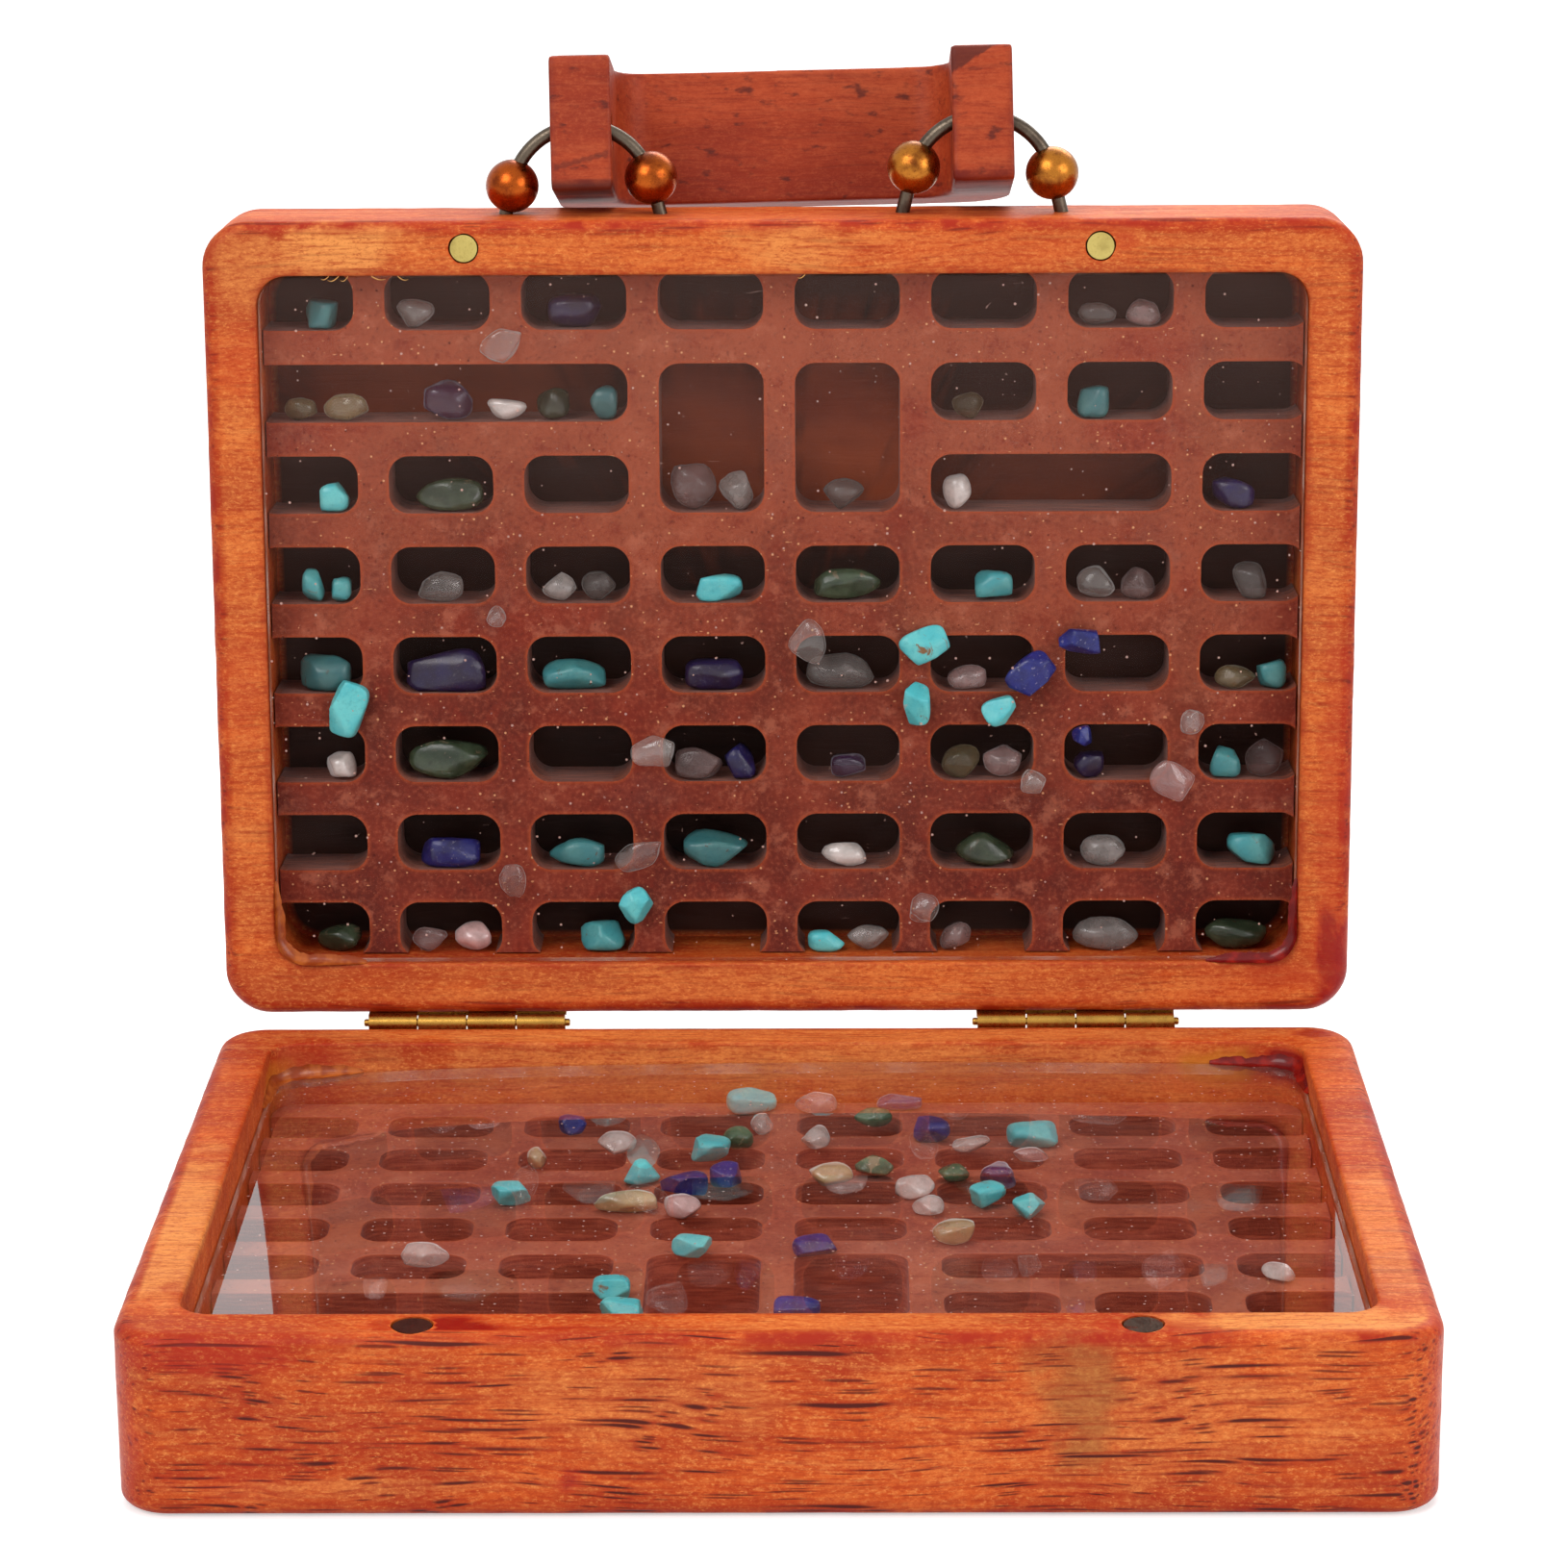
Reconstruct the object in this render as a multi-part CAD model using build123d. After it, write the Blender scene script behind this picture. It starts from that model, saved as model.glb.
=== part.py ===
from build123d import *
from math import atan2, cos, degrees, radians, sin
import os

# Mineral specimen box: two routed wooden trays on two brass butt hinges, each
# with a board of specimen cells under a clear window, magnets in the front rims
# and a wooden carrying handle held by two bead-dressed wire staples.
# Millimetres and degrees. Origin: centre of the base's underside, +Z up,
# front (magnet side) towards -Y, hinges towards +Y. The lid stands open.

# ---- trays ----
box_width = 150.0
box_depth = 106.0
base_height = 22.0
lid_height = 18.0
rim_width = 7.0
outer_corner_radius = 6.0
pocket_corner_radius = 4.0
outer_edge_round = 1.5
rim_edge_round = 0.4
base_floor = 4.6
lid_floor = 4.0
closing_gap = 0.2
open_angle = 92.8

# ---- cell boards, windows and glue ----
board_thickness = 9.0
board_fit = 0.2
cell_width = 13.7
cell_height = 7.6
cell_corner_radius = 2.7
column_count = 8
lid_row_count = 8
base_row_count = 7
outer_column_inset = 5.7
lid_first_row_inset = 3.9
lid_last_row_inset = 3.4
base_first_row_inset = 10.35
pattern_offset = -0.5
window_thickness = 1.5
window_fit = 0.15
base_window_gap = 3.3
lid_window_gap = 2.8
glue_width = 1.4
glue_height = 0.6
glue_reach = 9.0
glue_seat = 0.02

# ---- magnets ----
base_magnet_diameter = 4.4
lid_magnet_diameter = 3.5
magnet_thickness = 2.5
magnet_inset = 34.0
magnet_fit = 0.05
magnet_sink = 0.1

# ---- hinges ----
left_hinge_inset = 32.3
right_hinge_inset = 36.3
hinge_length = 26.4
knuckle_count = 4
knuckle_diameter = 2.2
knuckle_gap = 0.2
leaf_width = 8.0
leaf_thickness = 0.5
pin_diameter = 1.0
pin_fit = 0.06
pin_overhang = 0.6
pin_end_round = 0.25
leaf_slot_clearance = 0.3
nail_spacing = 16.0
nail_shank_diameter = 1.0
nail_fit = 0.03
nail_end_wall = 2.5
nail_head_diameter = 2.4
nail_head_height = 0.5
nail_head_round = 0.4
nail_inset = 4.9

# ---- handle ----
handle_width = 60.5
arm_width = 8.5
handle_thickness = 18.1
finger_depth = 19.0
bar_depth = 7.5
handle_outer_radius = 8.0
handle_inner_radius = 4.5
arm_end_to_hole = 4.0
hole_above_underside = 8.45
handle_hole_diameter = 4.0
arm_end_round = 1.3
handle_edge_round = 0.6
fold_back_angle = 12.7

# ---- staples and beads ----
wire_diameter = 1.8
staple_arc_radius = 9.3
staple_splay = 13.8
staple_arc_rise = 2.55
staple_end_wall = 2.0
left_staple_sink = 1.1
wire_fit = 0.05
hole_end_gap = 0.3
bead_diameter = 6.9
bead_bore_fit = 0.08
bead_seat = 0.1
bead_heights = {"left_outer": 3.6, "left_inner": 4.6, "right_inner": 5.8, "right_outer": 5.0}

# ---- specimens ----
chip_bevel = 0.28
chip_seat = 0.05
chip_top_room = 0.3
chip_flatness = 0.8
cell_chip_depth = 4.0
plan_count_across = 136
plan_count_along = 92
cell_run_count = 11
cell_rise_count = 8

# ---- worked out from the sizes above ----
pocket_width = box_width - 2 * rim_width
pocket_depth = box_depth - 2 * rim_width
column_pitch = (pocket_width - 2 * outer_column_inset) / (column_count - 1)
row_pitch = (pocket_depth - lid_first_row_inset - lid_last_row_inset) / (lid_row_count - 1)
left_hinge_x = left_hinge_inset - box_width / 2
right_hinge_x = box_width / 2 - right_hinge_inset
magnet_x = box_width / 2 - magnet_inset
staple_embed = rim_width - staple_end_wall
nail_length = rim_width + leaf_thickness - nail_end_wall
knuckle_radius = knuckle_diameter / 2
hinge_y = box_depth / 2 + knuckle_radius
hinge_z = base_height + closing_gap / 2
knuckle_length = hinge_length / knuckle_count
lid_top = base_height + closing_gap + lid_height
base_board_top = base_floor + board_thickness
lid_board_top = lid_floor + board_thickness
arm_offset = (handle_width - arm_width) / 2
arm_side_drop = staple_arc_radius - (staple_arc_radius**2 - (arm_width / 2) ** 2) ** 0.5
staple_top = staple_arc_rise + staple_arc_radius
hole_standoff = staple_top - arm_side_drop / 2
handle_roll = degrees(atan2(left_staple_sink, 2 * arm_offset))

# The lid is drawn as a tray lying open side up, then turned onto the closed box,
# then swung open about the hinge line.
close_lid = Pos(0, 0, lid_top) * Rot(180, 0, 0)
swing_open = Pos(0, hinge_y, hinge_z) * Rot(-open_angle, 0, 0) * Pos(0, -hinge_y, -hinge_z)
lid_pose = swing_open * close_lid

# The handle is drawn flat with the arms towards -Y, then laid back over the lid.
handle_pose = (
    lid_pose
    * Pos(0, box_depth / 2 + hole_standoff, lid_height / 2)
    * Rot(0, 0, handle_roll)
    * Rot(-(90 + fold_back_angle), 0, 0)
)


def rounded_plate(width, depth, radius, thickness):
    return extrude(RectangleRounded(width, depth, radius), thickness)


def rod(diameter, start, end):
    """A round bar between two points."""
    line = Vector(*end) - Vector(*start)
    plane = Plane(origin=start, z_dir=line)
    return extrude(plane * Circle(diameter / 2), line.length)


# ---- trays ----
def tray(height, floor):
    """A rectangular block with rounded corners and a routed pocket, open side up."""
    block = rounded_plate(box_width, box_depth, outer_corner_radius, height)
    outline = block.edges().group_by(Axis.Z)[0] + block.edges().group_by(Axis.Z)[-1]
    block = fillet(outline, outer_edge_round)
    pocket = rounded_plate(pocket_width, pocket_depth, pocket_corner_radius, height)
    block = block - Pos(0, 0, floor) * pocket
    rim = block.faces().sort_by(Axis.Z)[-1]
    return fillet(rim.inner_wires()[0].edges(), rim_edge_round)


def magnet_places(side):
    """Middle of the rim, at both ends; side is +1 where the front is towards +Y."""
    y = side * (box_depth - rim_width) / 2
    return [(-magnet_x, y), (magnet_x, y)]


def magnet(diameter, height, place):
    """A disc let into the rim from above, its face just below the rim."""
    x, y = place
    return Pos(x, y, height - magnet_sink - magnet_thickness) * extrude(
        Circle(diameter / 2), magnet_thickness
    )


def magnet_pocket(diameter, height, place):
    x, y = place
    return Pos(x, y, height - magnet_sink - magnet_thickness) * extrude(
        Circle(diameter / 2 + magnet_fit), magnet_thickness + rim_width
    )


# ---- cell boards ----
# Cells that run together, as first column, last column, first row, last row.
# Columns count from the left and rows from the front, or handle, side.
merged_cells = [(1, 3, 2, 2), (4, 4, 2, 3), (5, 5, 2, 3), (6, 7, 3, 3)]


def cell_spans(row_count):
    """Every cell of a board, merged or single."""
    spans = [span for span in merged_cells if span[3] <= row_count]
    for row in range(1, row_count + 1):
        for column in range(1, column_count + 1):
            taken = any(
                first <= column <= last and top <= row <= bottom
                for first, last, top, bottom in spans
                if (first, top) != (last, bottom)
            )
            if not taken:
                spans.append((column, column, row, row))
    return spans


def column_x(column):
    return pattern_offset + (column - (column_count + 1) / 2) * column_pitch


def row_inset(row, first_row_inset):
    """Distance of a row's centre line from the pocket's front wall."""
    return first_row_inset + (row - 1) * row_pitch


def board(row_count, first_row_inset, side):
    """A slab with rounded slots cut through; side is +1 where the front is towards +Y."""
    outline = RectangleRounded(
        pocket_width - 2 * board_fit,
        pocket_depth - 2 * board_fit,
        pocket_corner_radius - board_fit,
    )
    for first, last, top, bottom in cell_spans(row_count):
        x = (column_x(first) + column_x(last)) / 2
        inset = (row_inset(top, first_row_inset) + row_inset(bottom, first_row_inset)) / 2
        width = (last - first) * column_pitch + cell_width
        depth = (bottom - top) * row_pitch + cell_height
        y = side * (pocket_depth / 2 - inset)
        outline -= Pos(x, y) * RectangleRounded(width, depth, cell_corner_radius)
    return extrude(outline, board_thickness)


# ---- windows and the glue that holds them ----
def window():
    return rounded_plate(
        pocket_width - 2 * window_fit,
        pocket_depth - 2 * window_fit,
        pocket_corner_radius - window_fit,
        window_thickness,
    )


def corner_glue(side):
    """Glue run into the two corners at one side, lying on the window against the wall."""
    ring = RectangleRounded(
        pocket_width - 2 * glue_seat,
        pocket_depth - 2 * glue_seat,
        pocket_corner_radius - glue_seat,
    ) - RectangleRounded(
        pocket_width - 2 * glue_width,
        pocket_depth - 2 * glue_width,
        pocket_corner_radius - glue_width,
    )
    dabs = []
    for end in (-1, 1):
        corner = Pos(end * pocket_width / 2, side * pocket_depth / 2)
        dab = extrude(ring & (corner * Rectangle(2 * glue_reach, 2 * glue_reach)), glue_height)
        dabs.append(dab.solid())
    return dabs


# ---- hinges ----
def leaf(knuckles):
    """One leaf of the hinge in the closed position, plate upwards from the hinge line.

    The first knuckle is at the left. knuckles names the ones this leaf carries.
    """
    plate = Pos(0, -knuckle_radius + leaf_thickness / 2, leaf_width / 2) * Box(
        hinge_length, leaf_thickness, leaf_width
    )
    slot_depth = knuckle_radius + leaf_slot_clearance
    for index in range(knuckle_count):
        x = (index + 0.5) * knuckle_length - hinge_length / 2
        if index in knuckles:
            length = knuckle_length - knuckle_gap
            plate += Pos(x - length / 2, 0, 0) * Rot(0, 90, 0) * extrude(
                Circle(knuckle_radius), length
            )
        else:
            slot = Box(knuckle_length + knuckle_gap, knuckle_diameter, 2 * slot_depth)
            plate -= Pos(x, -knuckle_radius + leaf_thickness / 2, 0) * slot
    bore = rod(pin_diameter + 2 * pin_fit, (-hinge_length, 0, 0), (hinge_length, 0, 0))
    plate -= bore
    for x in (-nail_spacing / 2, nail_spacing / 2):
        hole = rod(
            nail_shank_diameter + 2 * nail_fit,
            (x, -2 * knuckle_radius, nail_inset),
            (x, 2 * knuckle_radius, nail_inset),
        )
        plate -= hole
    return plate


def hinge_pin(x):
    half = hinge_length / 2 + pin_overhang
    pin = rod(pin_diameter, (-half, 0, 0), (half, 0, 0))
    pin = fillet(pin.edges(), pin_end_round)
    return Pos(x, hinge_y, hinge_z) * pin


def nail():
    """A round-headed nail, head's underside at the origin, shank towards -Y."""
    shank = rod(nail_shank_diameter, (0, 0, 0), (0, -nail_length, 0))
    head = rod(nail_head_diameter, (0, 0, 0), (0, nail_head_height, 0))
    head = fillet(head.edges().sort_by(Axis.Y)[-1], nail_head_round)
    return head + shank


def nail_places():
    """Across both hinges, relative to the hinge line; up is away from it."""
    y = -knuckle_radius + leaf_thickness
    return [
        (x + end * nail_spacing / 2, hinge_y + y, nail_inset)
        for x in (left_hinge_x, right_hinge_x)
        for end in (-1, 1)
    ]


def nail_hole(place, z):
    x, y, _ = place
    diameter = nail_shank_diameter + 2 * nail_fit
    return rod(diameter, (x, y, z), (x, y - nail_length - hole_end_gap, z))


# ---- staples and beads ----
def staple_line(extra=0.0):
    """The wire's centre line in X and Y: two splayed legs and an arc, feet level at y = 0."""
    arc_end = radians(90 - staple_splay)
    x_end = staple_arc_radius * sin(arc_end)
    y_end = staple_arc_rise + staple_arc_radius * cos(arc_end)
    leg_x = sin(radians(staple_splay))
    leg_y = -cos(radians(staple_splay))
    run = (y_end + staple_embed + extra) / -leg_y
    foot_x = x_end + run * leg_x
    foot_y = y_end + run * leg_y
    left = Line((-foot_x, foot_y), (-x_end, y_end))
    arc = ThreePointArc((-x_end, y_end), (0, staple_top), (x_end, y_end))
    right = Line((x_end, y_end), (foot_x, foot_y))
    return Wire([left.edge(), arc.edge(), right.edge()])


def wire_solid(diameter, extra=0.0):
    line = staple_line(extra)
    start = line @ 0
    plane = Plane(origin=start, z_dir=line % 0)
    return sweep(plane * Circle(diameter / 2), path=line)


def leg_x_at(height):
    """Half the distance between the legs at a height above the feet."""
    arc_end = radians(90 - staple_splay)
    y_end = staple_arc_rise + staple_arc_radius * cos(arc_end)
    x_end = staple_arc_radius * sin(arc_end)
    if height > y_end:
        return (staple_arc_radius**2 - (height - staple_arc_rise) ** 2) ** 0.5
    return x_end + (y_end - height) * sin(radians(staple_splay)) / cos(radians(staple_splay))


def staple_place(side):
    """On the lid's front edge; the left staple sits deeper, the right one higher."""
    rise = side * left_staple_sink / 2
    return Pos(side * arm_offset, box_depth / 2 + rise, lid_height / 2)


def bead(side, end, height):
    """A drilled ball on one leg; height is its centre above the lid's edge."""
    rise = side * left_staple_sink / 2
    seated = max(height, bead_diameter / 2 + bead_seat)
    ball = Pos(end * leg_x_at(seated - rise), seated - rise, 0) * Sphere(bead_diameter / 2)
    return ball - wire_solid(wire_diameter + 2 * bead_bore_fit)


# ---- handle ----
def handle():
    """A C cut from one board: hole axis at the origin, arms towards -Y, underside down."""
    front = -arm_end_to_hole
    bar_front = front + finger_depth
    back = bar_front + bar_depth
    outer = Pos(0, (front + back) / 2) * Rectangle(handle_width, back - front)
    outer = fillet(outer.vertices().group_by(Axis.Y)[-1], handle_outer_radius)
    gap_width = handle_width - 2 * arm_width
    gap_reach = finger_depth + handle_inner_radius
    gap = Pos(0, bar_front - gap_reach / 2) * Rectangle(gap_width, gap_reach)
    gap = fillet(gap.vertices().group_by(Axis.Y)[-1], handle_inner_radius)
    grip = extrude(outer - gap, handle_thickness)
    ends = grip.edges().filter_by(Axis.X).group_by(Axis.Y)[0]
    grip = fillet(ends, arm_end_round)
    rows = grip.edges().filter_by(Axis.X).group_by(Axis.Y)
    grip = fillet(rows[-1] + rows[-2], handle_edge_round)
    grip = Pos(0, 0, -hole_above_underside) * grip
    grip -= rod(handle_hole_diameter, (-handle_width, 0, 0), (handle_width, 0, 0))
    return grip


# ---- specimens ----
def chip(length, width, thickness):
    """A tumbled chip of stone as a bevelled block."""
    block = Box(length, width, thickness)
    return chamfer(block.edges(), chip_bevel * min(length, width, thickness))


def loose_chips(places, board_top, room):
    """Chips between board and window, as x, y, length, width and turn about the vertical.

    The plan is ruled in plan_count_across by plan_count_along squares over the pocket.
    """
    across = pocket_width / plan_count_across
    along = pocket_depth / plan_count_along
    scale = min(across, along)
    chips = []
    for x, y, length, width, turn in places:
        thickness = min(chip_flatness * scale * width, room - chip_top_room)
        place = Pos(x * across, y * along, board_top + chip_seat + thickness / 2)
        chips.append(place * Rot(0, 0, turn) * chip(scale * length, scale * width, thickness))
    return chips


def lid_cell_chips(places):
    """Chips that lie on a cell's lower wall with the lid upright.

    Each is column, row, offset along the cell, length and height. The cell's straight run is
    ruled into cell_run_count parts, its open height into cell_rise_count.
    """
    chips = []
    for column, row, offset, length, height in places:
        left = max(column_x(column) - cell_width / 2, -pocket_width / 2)
        right = min(column_x(column) + cell_width / 2, pocket_width / 2)
        unit = (right - left - cell_corner_radius) / cell_run_count
        inset = row_inset(row, lid_first_row_inset)
        upper = max(inset - cell_height / 2, 0)
        lower = min(inset + cell_height / 2, pocket_depth)
        tall = height * (lower - upper) / cell_rise_count
        depth = min(tall, cell_chip_depth)
        x = (left + right) / 2 + offset * unit
        y = pocket_depth / 2 - lower + chip_seat + tall / 2
        z = lid_board_top - chip_seat - depth / 2
        chips.append(Pos(x, y, z) * chip(length * unit, tall, depth))
    return chips


# Loose chips, from above in the base and from the inside in the lid: x and y from
# the tray's centre, length, width, turn.
base_loose = {
    "turquoise": [
        (-4.5, 42.5, 6.6, 3.8, 20),
        (-9.5, 24.5, 4.5, 5.0, 70),
        (32.0, 29.5, 6.5, 4.5, 10),
        (-34.0, 9.0, 5.0, 3.5, 0),
        (-18.0, 16.5, 4.5, 3.5, 40),
        (25.5, 8.5, 4.5, 3.5, 25),
        (30.5, 4.5, 4.0, 3.5, 60),
        (-11.0, -8.0, 4.5, 3.0, -20),
        (-20.0, -22.0, 4.5, 3.5, 0),
        (-18.5, -29.0, 5.5, 3.5, -15),
    ],
    "lapis": [
        (-27.5, 34.5, 3.5, 3.0, 30),
        (19.0, 31.5, 4.5, 4.5, 15),
        (-12.5, 12.0, 6.0, 4.0, -10),
        (-7.0, 15.0, 4.0, 4.0, 45),
        (4.0, -8.0, 5.5, 3.0, 25),
        (2.0, -28.5, 5.5, 3.5, 0),
    ],
    "clear_quartz": [
        (-21.5, 26.5, 5.0, 4.0, 0),
        (-3.0, 34.0, 3.0, 3.5, 10),
        (4.0, 28.5, 3.8, 3.8, 0),
        (24.0, 27.5, 5.5, 2.5, 25),
        (16.5, 11.5, 5.0, 4.0, 0),
        (18.0, 5.5, 4.0, 3.0, -20),
        (-43.0, -11.5, 6.0, 4.0, 0),
        (59.5, -16.0, 4.5, 2.5, -40),
    ],
    "rose_quartz": [
        (4.0, 42.0, 5.6, 3.6, 0),
        (31.5, 23.5, 4.5, 2.5, 0),
        (-12.5, 4.5, 5.0, 4.0, -15),
    ],
    "citrine": [
        (-31.5, 21.5, 2.5, 3.5, 10),
        (-19.5, 6.5, 8.0, 3.6, 0),
        (6.0, 15.0, 5.6, 4.4, 0),
        (21.0, -4.0, 5.4, 3.8, 10),
    ],
    "green_agate": [
        (-6.0, 29.0, 4.0, 3.5, 0),
        (11.5, 36.5, 5.0, 3.5, -10),
        (11.5, 18.5, 5.0, 3.5, -5),
        (21.5, 16.5, 4.0, 3.0, 0),
    ],
    "amethyst": [
        (15.0, 43.5, 6.0, 2.5, 0),
        (27.0, 15.0, 4.5, 4.5, 0),
    ],
}
lid_loose = {
    "turquoise": [
        (18.5, -3.5, 6.4, 4.4, 20),
        (28.5, -12.5, 4.6, 3.6, 20),
        (17.5, -11.5, 3.6, 5.8, 0),
        (-58.0, -12.0, 4.6, 7.4, -20),
        (-20.0, -39.0, 4.2, 4.4, 30),
    ],
    "lapis": [
        (39.0, -3.0, 5.6, 3.2, -5),
        (32.5, -7.5, 6.6, 4.6, 35),
        (39.5, -16.0, 2.6, 2.6, 20),
    ],
    "clear_quartz": [
        (-36.5, 36.5, 6.0, 4.2, 30),
        (-38.0, 0.5, 2.6, 2.8, 0),
        (3.0, -3.0, 5.0, 6.0, 0),
        (-17.5, -18.0, 6.0, 4.5, 10),
        (54.0, -14.0, 3.2, 3.4, 0),
        (33.0, -22.0, 3.4, 3.2, 0),
        (-19.5, -32.0, 6.8, 3.8, 25),
        (-36.5, -35.5, 3.6, 4.8, 5),
        (18.5, -39.5, 3.8, 4.4, -25),
    ],
    "rose_quartz": [
        (51.5, -22.0, 5.6, 6.0, 30),
    ],
    "citrine": [],
    "green_agate": [],
    "amethyst": [],
}
# Chips in the lid's cells: column, row, offset along the cell, length, height.
lid_in_cells = {
    "turquoise": [
        (1, 1, 2.0, 5.0, 4.0),
        (7, 2, -3.4, 4.2, 4.4),
        (3, 2, 3.7, 3.6, 4.6),
        (1, 3, 3.3, 4.4, 4.0),
        (1, 4, -0.5, 3.4, 4.6),
        (1, 4, 3.9, 3.2, 3.4),
        (4, 4, 0.8, 6.2, 3.6),
        (6, 4, 1.5, 5.0, 4.0),
        (1, 5, 1.0, 8.0, 5.0),
        (3, 5, -0.8, 8.4, 4.2),
        (8, 5, 3.4, 4.0, 4.0),
        (8, 6, -3.0, 4.4, 4.2),
        (3, 7, -0.8, 7.4, 4.0),
        (4, 7, 0.0, 8.6, 5.0),
        (8, 7, 1.0, 7.0, 4.6),
        (5, 8, -3.0, 5.0, 3.0),
        (3, 8, 2.5, 6.0, 4.4),
    ],
    "lapis": [
        (3, 1, 0.0, 7.0, 4.6),
        (8, 3, -2.5, 6.0, 4.2),
        (2, 5, 0.0, 10.6, 6.0),
        (4, 5, 0.0, 7.8, 4.2),
        (4, 6, 3.4, 4.2, 4.8),
        (7, 6, -3.5, 4.0, 3.6),
        (2, 7, 0.0, 8.0, 4.4),
    ],
    "clear_quartz": [
        (2, 1, -3.0, 5.0, 4.0),
        (7, 1, -3.0, 5.0, 3.2),
        (3, 2, -9.0, 5.2, 3.0),
        (6, 3, -3.4, 3.8, 4.8),
        (4, 3, 3.1, 4.6, 5.4),
        (5, 3, -0.5, 5.4, 4.2),
        (2, 4, -0.5, 6.0, 4.2),
        (3, 4, -2.6, 4.6, 4.0),
        (3, 4, 2.6, 4.6, 4.0),
        (7, 4, -2.8, 5.0, 4.6),
        (8, 4, 0.0, 4.8, 5.0),
        (5, 5, -1.0, 9.0, 5.0),
        (1, 6, 3.1, 4.8, 3.8),
        (5, 7, -0.6, 6.0, 3.4),
        (7, 7, -1.5, 6.0, 4.2),
        (5, 8, 2.6, 5.6, 3.8),
        (7, 8, -1.0, 9.0, 4.8),
    ],
    "rose_quartz": [
        (7, 1, 3.0, 4.6, 3.6),
        (4, 3, -2.5, 6.0, 6.4),
        (7, 4, 2.8, 4.6, 4.4),
        (6, 5, -2.0, 5.2, 3.4),
        (4, 6, -2.1, 6.4, 4.4),
        (6, 6, 2.8, 5.2, 4.4),
        (8, 6, 2.6, 5.4, 5.4),
        (2, 8, -3.0, 4.8, 3.8),
        (2, 8, 2.8, 5.0, 4.2),
        (6, 8, -3.4, 4.2, 4.2),
    ],
    "citrine": [
        (1, 2, -1.6, 5.0, 3.2),
        (1, 2, 5.4, 7.0, 3.8),
        (6, 2, -2.0, 4.2, 3.6),
        (8, 5, -1.8, 5.8, 3.2),
        (6, 6, -2.8, 5.2, 4.6),
    ],
    "green_agate": [
        (3, 2, -3.0, 4.4, 4.4),
        (2, 3, 1.0, 9.0, 4.6),
        (5, 4, 0.0, 9.0, 4.4),
        (2, 6, 0.0, 10.6, 5.6),
        (6, 7, 0.5, 8.0, 4.6),
        (1, 8, 2.0, 7.0, 4.0),
        (8, 8, -1.0, 9.0, 4.4),
    ],
    "amethyst": [
        (2, 2, 1.0, 6.4, 5.4),
        (5, 6, 0.0, 4.6, 3.4),
    ],
}


def base_specimens(mineral):
    return loose_chips(base_loose[mineral], base_board_top, base_window_gap)


def lid_specimens(mineral):
    chips = loose_chips(lid_loose[mineral], lid_board_top, lid_window_gap)
    return [lid_pose * piece for piece in chips + lid_cell_chips(lid_in_cells[mineral])]


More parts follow.
